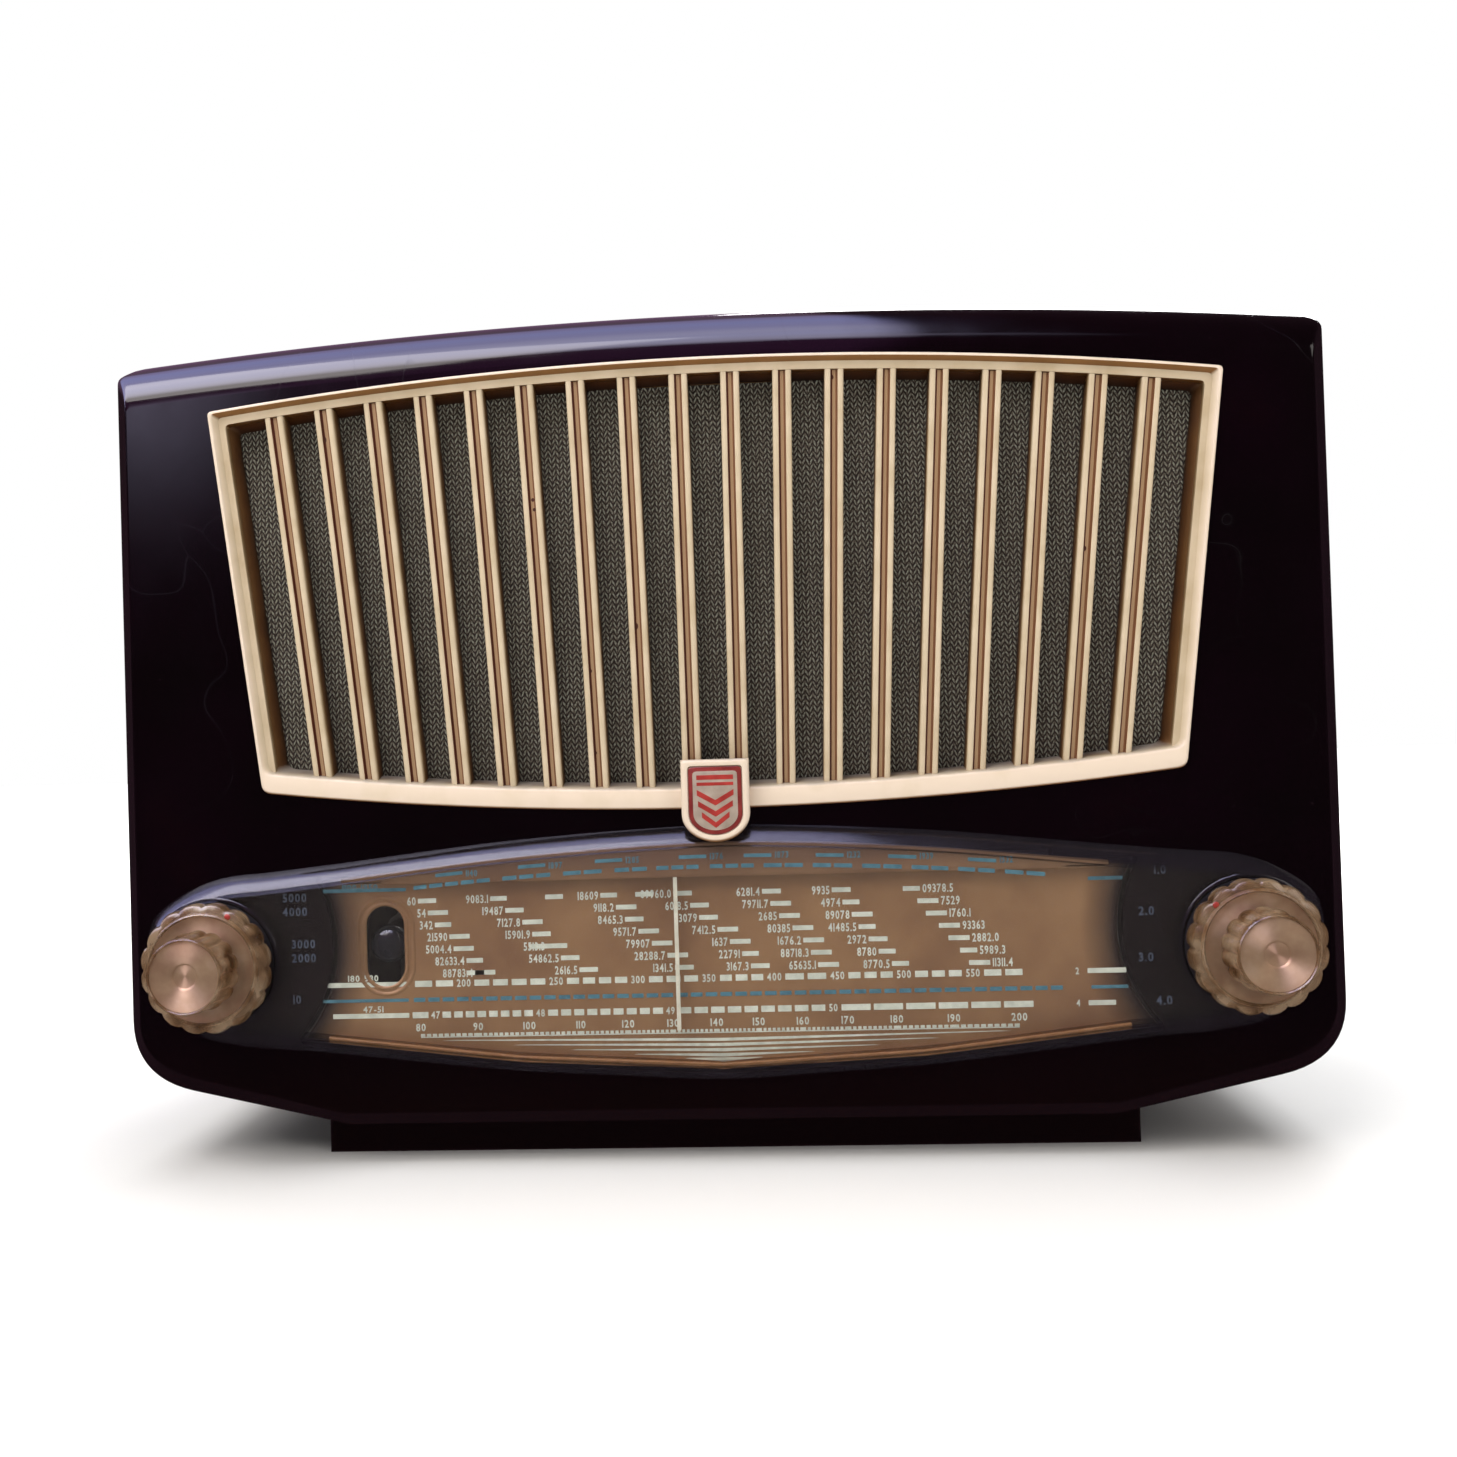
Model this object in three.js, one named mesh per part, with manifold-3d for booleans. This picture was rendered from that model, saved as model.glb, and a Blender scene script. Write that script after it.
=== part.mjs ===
// Tabletop valve radio in a moulded bakelite cabinet.
// Millimetres, +Z up, front facing -Y. The origin is on the table, under the middle of the plinth.
// Every physical piece is one named mesh: cabinet and trim first, then the dial drive, the controls,
// the loudspeaker, the chassis with what stands on it, and the back cover with its fittings.

import * as THREE from "three";
import { mergeVertices } from "three/addons/utils/BufferGeometryUtils.js";
import Module from "manifold-3d";

const wasm = await Module();
wasm.setup();

// ---- Driving dimensions ----

// Cabinet
const HALF_WIDTH = 190;
const FRONT = -92;
const BACK = 90;
const WALL = 4.5;
const FRONT_WALL = 6;
const CROWN_Z = 268;
const SHOULDER_Z = 259.4;
const CORNER_ROUND = 8;
const BELLY_Z = 11;
const SLOPE_END_X = 170;
const SLOPE_END_Z = 21;
const SIDE_START_Z = 43;
const EDGE_WIDTH = 5;
const EDGE_DEPTH = 6;
const TOP_ROLL_HEIGHT = 17;
const TOP_ROLL_DEPTH = 28;
const PLINTH_HALF = 130;
const PLINTH_FRONT = FRONT + 17;
const PLINTH_BACK = 80;
const GAP = 0.3;

// Grille: a fan of bars that spread slightly towards the top
const BAR_COUNT = 18;
const BAR_WIDTH = 5.9;
const BAR_PITCH = 15.22;
const BAR_PITCH_Z = 172.3;
const BAR_SPREAD = 0.0132;
const BAR_FRONT = FRONT - 0.5;
const BAR_BACK = FRONT + 6.8;
const LIP_PROUD = 2.6;
const LIP_WIDTH = 4.2;
const GRILLE_TOP = { half: 156.3, side: 239.5, middle: 249.6 };
const GRILLE_BOTTOM = { half: 141.4, side: 118.1, middle: 108.6 };
const BADGE = { half: 10.4, top: 124.8, straight: 108.3, tip: 99.6, front: FRONT - 8.8 };

// Dial
const COVER_FRONT = FRONT - 6;
const COVER_WALL = 2.2;
const KNOB_X = 158.5;
const AXIS_Z = 65;
const PLATE_Y = FRONT + 1;
const PLATE_TOP = 90.3;
const PLATE_END = { x: 166, z: 70, radius: 45 };
const APRON_Y = COVER_FRONT + 2.6;
const APRON_BOTTOM = 88.8;
const EYE_X = -105.5;
const EYE_Z = 69;
const EYE_WINDOW = { width: 13, height: 28 };
const BRACKET_Y = -84.3;

// Dial drive: half a turn of the drum carries the pointer over the whole scale
const POINTER_X = -13.5;
const NEEDLE_Y = FRONT - 2.2;
const TURN_TO_LOW_END = 78.1;
const SCALE_TRAVEL = 189;
const DRUM = { x: 55, z: 82, radius: SCALE_TRAVEL / Math.PI, y: -71.5 };
const RUN_Y = -79;
const PULLEY = { x: 118, z: 92, groove: 4.6 };
const CORD_RADIUS = 0.45;
const SPINDLE_RADIUS = 3;

// Controls
const SMALL_KNOB = { radius: 12.4, back: -108.4, front: -121.6 };
const LARGE_KNOB = { radius: 19.7, flutes: 16, back: -100.4, front: -107.7 };
const INNER_SHAFT = 3;
const OUTER_SHAFT = 5;
const TONE_INDEX = 62.7;
const BAND_INDEX = 134.4;

// Loudspeaker
const SPEAKER = { x: -60, z: 180, radius: 64 };
const CLOTH_Y = -84.4;
const BOARD_Y = -83.3;
const BOARD_BACK = -78.3;

// Chassis
const DECK_Z = 46;
const CHASSIS = { half: 140, front: -56, back: 66, foot: 20, sheet: 1.2 };
const BOLTS = [[-110, -34], [110, -34], [-110, 46], [110, 46]];

// Back cover
const BACK_SCREWS = [[-179.5, 52], [179.5, 52], [-179.5, 238], [179.5, 238]];
const COVER_Y = 85.4;
const COVER_THICK = 2.6;

// ---- Colours ----

const COLOURS = {
  bakelite: [0x1b0c10, 0.16, 0],
  ivory: [0xe3cfa2, 0.35, 0],
  clear: [0xcdbf94, 0.1, 0],
  copper: [0x8c6040, 0.45, 0.4],
  paint: [0xd8dccf, 0.5, 0],
  red: [0x8a2420, 0.4, 0],
  cloth: [0x4a4636, 0.95, 0],
  board: [0x6e4a2c, 0.85, 0],
  paper: [0x2c2926, 0.95, 0],
  steel: [0xa7a69c, 0.4, 0.9],
  brass: [0xb59a55, 0.35, 0.9],
  magnet: [0x3a3c40, 0.5, 0.8],
  can: [0xc4c5c1, 0.35, 0.9],
  glass: [0xbfc8c4, 0.08, 0],
  iron: [0x4c463f, 0.6, 0.6],
  fibre: [0x5a3f28, 0.9, 0],
  phenolic: [0x7a4a22, 0.6, 0],
  rubber: [0x1d1c1b, 0.85, 0],
  cord: [0xb9a77c, 0.9, 0],
};

const radio = new THREE.Group();

// ---- Tools of this file ----

// The signed volume says which way a closed geometry faces.
function facesInwards(positions, triangles) {
  let volume = 0;
  for (let i = 0; i < triangles.length; i += 3) {
    const [a, b, c] = [triangles[i] * 3, triangles[i + 1] * 3, triangles[i + 2] * 3];
    volume += positions[a] * (positions[b + 1] * positions[c + 2] - positions[b + 2] * positions[c + 1]);
    volume += positions[a + 1] * (positions[b + 2] * positions[c] - positions[b] * positions[c + 2]);
    volume += positions[a + 2] * (positions[b] * positions[c + 1] - positions[b + 1] * positions[c]);
  }
  return volume < 0;
}

function solid(geometry) {
  const plain = geometry.clone();
  plain.deleteAttribute("normal");
  plain.deleteAttribute("uv");
  const merged = mergeVertices(plain, 1e-4);
  const vertProperties = new Float32Array(merged.attributes.position.array);
  const kept = [];
  const index = merged.index.array;
  for (let i = 0; i < index.length; i += 3) {
    const [a, b, c] = [index[i], index[i + 1], index[i + 2]];
    if (a !== b && b !== c && c !== a) kept.push(a, b, c);
  }
  if (facesInwards(vertProperties, kept)) {
    for (let i = 0; i < kept.length; i += 3) {
      [kept[i], kept[i + 1]] = [kept[i + 1], kept[i]];
    }
  }
  const triVerts = new Uint32Array(kept);
  return new wasm.Manifold(new wasm.Mesh({ numProp: 3, vertProperties, triVerts }));
}

function join(...pieces) {
  return pieces.reduce((whole, piece) => whole.add(piece));
}

function cut(body, ...tools) {
  return tools.reduce((rest, tool) => rest.subtract(tool), body);
}

function place(name, body, colour) {
  const shape = body.getMesh();
  const geometry = new THREE.BufferGeometry();
  geometry.setAttribute("position", new THREE.BufferAttribute(shape.vertProperties, 3));
  geometry.setIndex(new THREE.BufferAttribute(shape.triVerts, 1));
  const [color, roughness, metalness] = COLOURS[colour];
  const mesh = new THREE.Mesh(geometry, new THREE.MeshStandardMaterial({ color, roughness, metalness }));
  mesh.name = name;
  radio.add(mesh);
  return mesh;
}

function box(x0, x1, y0, y1, z0, z1) {
  const geometry = new THREE.BoxGeometry(x1 - x0, y1 - y0, z1 - z0);
  geometry.translate((x0 + x1) / 2, (y0 + y1) / 2, (z0 + z1) / 2);
  return solid(geometry);
}

// A shape drawn in X and Z, as seen from the front, made thick from y0 to y1.
function slab(shape, y0, y1, options = {}) {
  const bevel = options.bevelThickness ?? 0;
  const geometry = new THREE.ExtrudeGeometry(shape, {
    depth: y1 - y0 - 2 * bevel,
    bevelEnabled: bevel > 0,
    curveSegments: 6,
    ...options,
  });
  geometry.rotateX(Math.PI / 2);
  geometry.translate(0, y1 - bevel, 0);
  return solid(geometry);
}

// A profile of [radius, y] turned about an axis that runs front to back through (x, z).
function turned(profile, x, z, segments = 24) {
  const points = profile.map(([radius, y]) => new THREE.Vector2(radius, y));
  const geometry = new THREE.LatheGeometry(points, segments);
  geometry.translate(x, 0, z);
  return solid(geometry);
}

// A profile of [radius, z] turned about an upright axis through (x, y).
function upright(profile, x, y, segments = 16) {
  const points = profile.map(([radius, z]) => new THREE.Vector2(radius, z));
  const geometry = new THREE.LatheGeometry(points, segments);
  geometry.rotateX(Math.PI / 2);
  geometry.translate(x, y, 0);
  return solid(geometry);
}

function rod(radius, y0, y1, x, z, segments = 16) {
  return turned([[0, y0], [radius, y0], [radius, y1], [0, y1]], x, z, segments);
}

function peg(radius, z0, z1, x, y, segments = 12) {
  return upright([[0, z0], [radius, z0], [radius, z1], [0, z1]], x, y, segments);
}

function polygon(points) {
  const shape = new THREE.Shape();
  points.forEach(([x, z], i) => (i ? shape.lineTo(x, z) : shape.moveTo(x, z)));
  shape.closePath();
  return shape;
}

function mirrored(points) {
  return [...points, ...points.map(([x, z]) => [-x, z]).reverse()];
}

function onCircle(x, z, radius, degrees) {
  const angle = THREE.MathUtils.degToRad(degrees);
  return [x + radius * Math.cos(angle), z + radius * Math.sin(angle)];
}

function arc(x, z, radius, from, to, steps) {
  return Array.from({ length: steps + 1 }, (_, i) => onCircle(x, z, radius, from + ((to - from) * i) / steps));
}

// ---- Cabinet: one open-backed bakelite moulding with its plinth ----

function cabinetOutline(inset) {
  const half = HALF_WIDTH - inset;
  const shoulder = SHOULDER_Z - inset;
  const shape = new THREE.Shape();
  shape.moveTo(-PLINTH_HALF, BELLY_Z + inset);
  shape.lineTo(PLINTH_HALF, BELLY_Z + inset);
  shape.lineTo(SLOPE_END_X - inset, SLOPE_END_Z + inset);
  shape.quadraticCurveTo(half, SLOPE_END_Z + 4 + inset, half, SIDE_START_Z);
  shape.lineTo(half, shoulder - CORNER_ROUND);
  shape.quadraticCurveTo(half, shoulder, half - CORNER_ROUND, shoulder + 0.6);
  shape.quadraticCurveTo(0, 2 * CROWN_Z - SHOULDER_Z - inset, -half + CORNER_ROUND, shoulder + 0.6);
  shape.quadraticCurveTo(-half, shoulder, -half, shoulder - CORNER_ROUND);
  shape.lineTo(-half, SIDE_START_Z);
  shape.quadraticCurveTo(-half, SLOPE_END_Z + 4 + inset, -SLOPE_END_X + inset, SLOPE_END_Z + inset);
  shape.closePath();
  return shape;
}

function grilleOutline(inset) {
  const top = GRILLE_TOP;
  const bottom = GRILLE_BOTTOM;
  const shape = new THREE.Shape();
  shape.moveTo(-bottom.half + inset, bottom.side + inset);
  shape.quadraticCurveTo(0, 2 * bottom.middle - bottom.side + inset, bottom.half - inset, bottom.side + inset);
  shape.lineTo(top.half - inset, top.side - inset);
  shape.quadraticCurveTo(0, 2 * top.middle - top.side - inset, -top.half + inset, top.side - inset);
  shape.closePath();
  return shape;
}

// The plate's lower edge follows the cover's, and each end curves round the knob beside it.
function plateOutline(inset) {
  const { x, z, radius } = PLATE_END;
  const reach = (level) => THREE.MathUtils.radToDeg(Math.asin((level - z) / (radius + inset)));
  const end = arc(x, z, radius + inset, 180 - reach(40 + inset), 180 - reach(PLATE_TOP - inset), 8);
  const right = [[63, 32 + inset], ...end];
  return polygon([[0, 28.8 + inset], ...mirrored(right)]);
}

// The front edge is narrow at the sides and below, and a deep elliptical roll along the crowned top.
const sideEdged = slab(cabinetOutline(0), FRONT, BACK + EDGE_DEPTH, {
  bevelThickness: EDGE_DEPTH,
  bevelSize: EDGE_WIDTH,
  bevelOffset: -EDGE_WIDTH,
  bevelSegments: 1,
});
const wide = HALF_WIDTH + 40;
const fall = (CROWN_Z - SHOULDER_Z) * (wide / (HALF_WIDTH - CORNER_ROUND)) ** 2;
const crown = new THREE.Shape();
crown.moveTo(-wide, -60);
crown.lineTo(wide, -60);
crown.lineTo(wide, CROWN_Z - fall);
crown.quadraticCurveTo(0, CROWN_Z + fall, -wide, CROWN_Z - fall);
crown.closePath();
const topRolled = slab(crown, FRONT, BACK + TOP_ROLL_DEPTH + 10, {
  bevelThickness: TOP_ROLL_DEPTH,
  bevelSize: TOP_ROLL_HEIGHT,
  bevelOffset: -TOP_ROLL_HEIGHT,
  bevelSegments: 4,
  curveSegments: 10,
});
const shell = sideEdged.intersect(topRolled);
const plinth = box(-PLINTH_HALF, PLINTH_HALF, PLINTH_FRONT, PLINTH_BACK, 0, BELLY_Z + 2);
const posts = BACK_SCREWS.map(([x, z]) => rod(8, 62, COVER_Y - 0.4, x, z, 12));
const bosses = BOLTS.map(([x, y]) => peg(6, 2, CHASSIS.foot - GAP, x, y));
const postHoles = BACK_SCREWS.map(([x, z]) => rod(1.8, 68, COVER_Y, x, z, 8));
const bossHoles = BOLTS.map(([x, y]) => peg(2.3, -1, 30, x, y, 8));
const boltRecesses = BOLTS.map(([x, y]) => peg(5.2, -1, 3, x, y));
const floorSlots = [-80, -66, -52, 52, 66, 80].map((x) => box(x - 2.5, x + 2.5, -20, 30, -1, 6));
const hollowTop = topRolled.translate([0, WALL, -WALL]);
const cabinetHollow = join(
  slab(cabinetOutline(WALL), FRONT + FRONT_WALL, BACK + 20).intersect(hollowTop),
  box(-PLINTH_HALF + WALL, PLINTH_HALF - WALL, PLINTH_FRONT + WALL, PLINTH_BACK - WALL, 4, BELLY_Z + 10),
);
const hollowed = cut(join(shell, plinth), cabinetHollow, box(-250, 250, BACK, BACK + 40, -10, 300));
const insidePosts = join(...posts).intersect(slab(cabinetOutline(1), 0, BACK));
const cabinet = cut(
  join(hollowed, insidePosts, ...bosses),
  slab(grilleOutline(LIP_WIDTH), FRONT - 5, FRONT + 20),
  slab(plateOutline(-1.2), FRONT - 5, FRONT + 20),
  box(-102, 102, FRONT - 5, FRONT + 20, 88, 94.2),
  rod(9.5, FRONT - 5, FRONT + 20, -KNOB_X, AXIS_Z),
  rod(9.5, FRONT - 5, FRONT + 20, KNOB_X, AXIS_Z),
  ...postHoles,
  ...bossHoles,
  ...boltRecesses,
  ...floorSlots,
);
place("cabinet", cabinet, "bakelite");

// ---- Grille: urea moulding with a proud lip, fan bars and the shield-shaped badge seat ----

function barX(place, z) {
  return place * (BAR_PITCH + BAR_SPREAD * (z - BAR_PITCH_Z));
}

// One bar is a leaning slab with a groove down the middle of its front.
function bar(position) {
  const low = GRILLE_BOTTOM.middle - 6;
  const high = GRILLE_TOP.middle + 6;
  const half = BAR_WIDTH / 2;
  const strip = (width) => polygon([
    [barX(position, low) - width, low],
    [barX(position, low) + width, low],
    [barX(position, high) + width, high],
    [barX(position, high) - width, high],
  ]);
  return cut(slab(strip(half), BAR_FRONT, BAR_BACK), slab(strip(0.9), BAR_FRONT - 1, BAR_FRONT + 2));
}

function badgeOutline(inset) {
  const half = BADGE.half - inset;
  const drop = BADGE.straight - BADGE.tip - inset;
  const shape = new THREE.Shape();
  shape.moveTo(half, BADGE.straight);
  shape.lineTo(half, BADGE.top - inset);
  shape.lineTo(-half, BADGE.top - inset);
  shape.lineTo(-half, BADGE.straight);
  shape.absellipse(0, BADGE.straight, half, drop, Math.PI, 2 * Math.PI, false, 0);
  shape.closePath();
  return shape;
}

const lip = cut(
  slab(grilleOutline(0), FRONT - LIP_PROUD, FRONT - GAP),
  slab(grilleOutline(LIP_WIDTH + 1), FRONT - LIP_PROUD - 1, FRONT + 1),
);
const skirt = cut(
  slab(grilleOutline(LIP_WIDTH + GAP), FRONT - 1.5, BAR_BACK),
  slab(grilleOutline(LIP_WIDTH + 3), FRONT - 3, BAR_BACK + 1),
);
const bars = Array.from({ length: BAR_COUNT }, (_, i) => bar(i - (BAR_COUNT - 1) / 2));
const trimmedBars = join(...bars).intersect(slab(grilleOutline(LIP_WIDTH + 2), BAR_FRONT, BAR_BACK));
const badgeFace = slab(badgeOutline(0), BADGE.front, COVER_FRONT - GAP);
const badgeNeck = box(-BADGE.half, BADGE.half, BADGE.front + 1, FRONT - GAP, 107.6, BADGE.top);
const badgePocket = slab(badgeOutline(2.2), BADGE.front - 1, BADGE.front + 1);
place("grille", cut(join(lip, skirt, trimmedBars, badgeFace, badgeNeck), badgePocket), "ivory");
place("badge_plate", slab(badgeOutline(2.5), BADGE.front + 0.2, BADGE.front + 0.8), "red");

// ---- Dial: clear cover, printed plate, bracket behind ----

const COVER_EDGE = [
  [0, 26], [63, 29.5], [127, 36.5], [150, 38.6], [164, 41.5], [175, 49], [181, 59], [182, 68],
  [179.5, 79], [169.6, 86.8], [157, 91.6], [120, 95.3], [71.6, 100.6], [0, 104.4],
];

function coverOutline(inset) {
  const middle = AXIS_Z;
  const shrunk = COVER_EDGE.map(([x, z]) => {
    const rise = z > middle ? -inset : inset;
    return [x > 160 ? x - inset : x, Math.abs(z - middle) > inset * 2 ? z + rise : z];
  });
  const outer = shrunk.slice(1, -1);
  return polygon([shrunk[0], ...outer, shrunk.at(-1), ...outer.map(([x, z]) => [-x, z]).reverse()]);
}

const cover = cut(
  slab(coverOutline(0), COVER_FRONT, FRONT - GAP, {
    bevelThickness: 2.4,
    bevelSize: 2,
    bevelOffset: -2,
    bevelSegments: 1,
  }),
  slab(coverOutline(COVER_WALL + 1.4), COVER_FRONT + COVER_WALL, FRONT + 1),
  rod(8, COVER_FRONT - 1, FRONT + 1, -KNOB_X, AXIS_Z),
  rod(8, COVER_FRONT - 1, FRONT + 1, KNOB_X, AXIS_Z),
);
place("dial_cover", cover, "clear");

const eyeHole = (margin) => [
  EYE_X - EYE_WINDOW.width / 2 - margin,
  EYE_X + EYE_WINDOW.width / 2 + margin,
  EYE_Z - EYE_WINDOW.height / 2 - margin,
  EYE_Z + EYE_WINDOW.height / 2 + margin,
];
const [eyeX0, eyeX1, eyeZ0, eyeZ1] = eyeHole(0);
const tray = cut(
  slab(plateOutline(0), PLATE_Y, BRACKET_Y - 1.6),
  slab(plateOutline(1), PLATE_Y + 1, BRACKET_Y),
  box(eyeX0, eyeX1, PLATE_Y - 1, PLATE_Y + 2, eyeZ0, eyeZ1),
);
// The top of the plate is pressed forward, so that the pointer's arm passes behind it.
const apronShape = polygon(mirrored([[118, APRON_BOTTOM], [118, 90.8], [71.6, 95.6], [36, 98.4], [6, 99.4]]));
const apron = slab(apronShape, APRON_Y, APRON_Y + 0.6);
const steps = [-1, 1].map((side) => box(side * 111 - 6, side * 111 + 6, APRON_Y, PLATE_Y + 0.6, APRON_BOTTOM, 89.8));
place("dial_plate", join(tray, apron, ...steps), "copper");

// The bracket spans both control axes and carries the pulleys, the pointer rail and the lamps.
const LAMPS = [-70, 78];
const [holeX0, holeX1, holeZ0, holeZ1] = eyeHole(6);
const bracketSheet = join(
  box(-174, 174, BRACKET_Y, BRACKET_Y + 1.2, 32, 108),
  box(-152, -136, BRACKET_Y, CHASSIS.front - GAP, 32, 33.2),
  box(136, 152, BRACKET_Y, CHASSIS.front - GAP, 32, 33.2),
);
const bracket = cut(
  bracketSheet,
  box(-104, 104, BRACKET_Y - 2, BRACKET_Y + 3, 89.4, 94.6),
  box(holeX0, holeX1, BRACKET_Y - 2, BRACKET_Y + 3, holeZ0, 88),
  ...LAMPS.map((x) => rod(7.5, BRACKET_Y - 2, BRACKET_Y + 3, x, 60)),
  rod(6.4, BRACKET_Y - 2, BRACKET_Y + 3, -KNOB_X, AXIS_Z),
  rod(6.4, BRACKET_Y - 2, BRACKET_Y + 3, KNOB_X, AXIS_Z),
);
const studs = [-1, 1].map((side) => rod(1.6, BRACKET_Y + 0.6, RUN_Y + 3.2, side * PULLEY.x, PULLEY.z, 12));
const railEnds = [-1, 1].map((side) => box(side * 128 - 2, side * 128 + 2, BRACKET_Y + 0.6, RUN_Y + 2, 99.5, 104.5));
const railSeats = [-1, 1].map((side) => box(side * 126 - 2, side * 126 + 2, RUN_Y - 1.8, RUN_Y + 1.8, 100.2, 103.8));
place("dial_bracket", cut(join(bracket, ...studs, ...railEnds), ...railSeats), "steel");
const railGeometry = new THREE.CylinderGeometry(1.4, 1.4, 254, 12);
railGeometry.rotateZ(Math.PI / 2);
railGeometry.translate(0, RUN_Y, 102);
place("pointer_rail", solid(railGeometry), "steel");

LAMPS.forEach((x, i) => {
  const lampProfile = [
    [0, -88.6], [3, -87.8], [5, -85.4], [5, -80], [4.6, -79], [4.6, -76], [0, -76],
  ];
  place(i ? "dial_lamp_right" : "dial_lamp_left", turned(lampProfile, x, 60, 10), "glass");
});

// ---- Pointer: needle before the plate, arm over its top edge, carrier on the rail ----

const needle = box(POINTER_X - 0.6, POINTER_X + 0.6, NEEDLE_Y, NEEDLE_Y + 0.8, 41.5, 92.6);
const arm = box(POINTER_X - 1.6, POINTER_X + 1.6, NEEDLE_Y, RUN_Y - 3, 91, 92.6);
const upstand = box(POINTER_X - 3.6, POINTER_X + 3.6, RUN_Y - 3.8, RUN_Y - 2.6, 91, 104.4);
const saddle = cut(
  box(POINTER_X - 3.6, POINTER_X + 3.6, RUN_Y - 2.8, RUN_Y + 2.4, 99.6, 104.4),
  box(POINTER_X - 5, POINTER_X + 5, RUN_Y - 1.75, RUN_Y + 1.75, 100.25, 103.75),
);
place("pointer", join(needle, arm, upstand, saddle), "paint");

// ---- Dial drive: drum on the capacitor shaft, two pulleys, cord and its spring ----

const drumRim = turned([
  [54, DRUM.y - 3.2], [DRUM.radius + 1.6, DRUM.y - 3.2], [DRUM.radius + 1.6, DRUM.y - 2.4],
  [DRUM.radius - 1.1, DRUM.y - 1.8], [DRUM.radius - 1.1, DRUM.y + 1.8], [DRUM.radius + 1.6, DRUM.y + 2.4],
  [DRUM.radius + 1.6, DRUM.y + 3.2], [54, DRUM.y + 3.2], [54, DRUM.y + 2.2], [57, DRUM.y + 2.2],
  [57, DRUM.y - 2.2], [54, DRUM.y - 2.2], [54, DRUM.y - 3.2],
], DRUM.x, DRUM.z, 24);
const drumWeb = turned([
  [3.3, DRUM.y - 4], [8, DRUM.y - 4], [8, DRUM.y + 0.8], [58, DRUM.y + 0.8],
  [58, DRUM.y + 2.2], [8, DRUM.y + 2.2], [8, DRUM.y + 5], [3.3, DRUM.y + 5], [3.3, DRUM.y - 4],
], DRUM.x, DRUM.z, 24);
const springWindow = box(DRUM.x - 30, DRUM.x + 30, DRUM.y, DRUM.y + 4, DRUM.z + 14, DRUM.z + 26);
const rimNotch = box(DRUM.x - 2.5, DRUM.x + 2.5, DRUM.y - 2, DRUM.y + 2, DRUM.z + 50, DRUM.z + 70);
place("drive_drum", cut(join(drumRim, drumWeb), springWindow, rimNotch), "can");

[-1, 1].forEach((side) => {
  const profile = [
    [1.9, RUN_Y - 2], [6.4, RUN_Y - 2], [6.4, RUN_Y - 1.5], [PULLEY.groove, RUN_Y - 0.7],
    [PULLEY.groove, RUN_Y + 0.7], [6.4, RUN_Y + 1.5], [6.4, RUN_Y + 2], [1.9, RUN_Y + 2], [1.9, RUN_Y - 2],
  ];
  const name = side < 0 ? "cord_pulley_left" : "cord_pulley_right";
  place(name, turned(profile, side * PULLEY.x, PULLEY.z, 12), "phenolic");
});

// The cord leaves the bottom of the drum both ways. To the right it turns about the tuning spindle and
// the right pulley, runs left past the pointer, turns about the left pulley and comes back to the drum.
function cordPoints() {
  const near = DRUM.y - 0.9;
  const far = DRUM.y + 0.9;
  const drumWrap = DRUM.radius;
  const spindleWrap = SPINDLE_RADIUS + CORD_RADIUS + 0.4;
  const pulleyWrap = PULLEY.groove + CORD_RADIUS + 0.15;
  const at = (y) => ([x, z]) => new THREE.Vector3(x, y, z);
  const points = arc(DRUM.x, DRUM.z, drumWrap, 100, 293.3, 14).map(at(near));
  const turns = arc(KNOB_X, AXIS_Z, spindleWrap, -66.7, 414.4, 15);
  turns.forEach(([x, z], i) => points.push(new THREE.Vector3(x, DRUM.y - 1 - (3 * i) / turns.length, z)));
  points.push(...arc(PULLEY.x, PULLEY.z, pulleyWrap, 54.4, 90, 3).map(at(RUN_Y)));
  points.push(...arc(-PULLEY.x, PULLEY.z, pulleyWrap, 90, 248.2, 6).map(at(RUN_Y)));
  points.push(...arc(DRUM.x, DRUM.z, drumWrap, -111.8, 80, 14).map(at(far)));
  return points;
}

const cordLine = new THREE.CatmullRomCurve3(cordPoints(), false, "centripetal");
cordLine.getUtoTmapping = (u) => u;
const cordSection = polygon(arc(0, 0, CORD_RADIUS, 0, 300, 5));
const cordGeometry = new THREE.ExtrudeGeometry(cordSection, {
  steps: cordPoints().length - 1,
  extrudePath: cordLine,
});
place("drive_cord", solid(cordGeometry), "cord");

const springLine = new THREE.CatmullRomCurve3(
  Array.from({ length: 37 }, (_, i) => {
    const turn = (i / 6) * 2 * Math.PI;
    const x = DRUM.x - 20 + (40 * i) / 36;
    return new THREE.Vector3(x, DRUM.y - 1.5 + 1.7 * Math.cos(turn), DRUM.z + 20 + 1.7 * Math.sin(turn));
  }),
);
springLine.getUtoTmapping = (u) => u;
const springSection = polygon(arc(0, 0, 0.4, 0, 240, 2));
place(
  "cord_spring",
  solid(new THREE.ExtrudeGeometry(springSection, { steps: 36, extrudePath: springLine })),
  "steel",
);

// ---- Tuning capacitor: frame with fixed vanes, rotor with moving vanes ----

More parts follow.
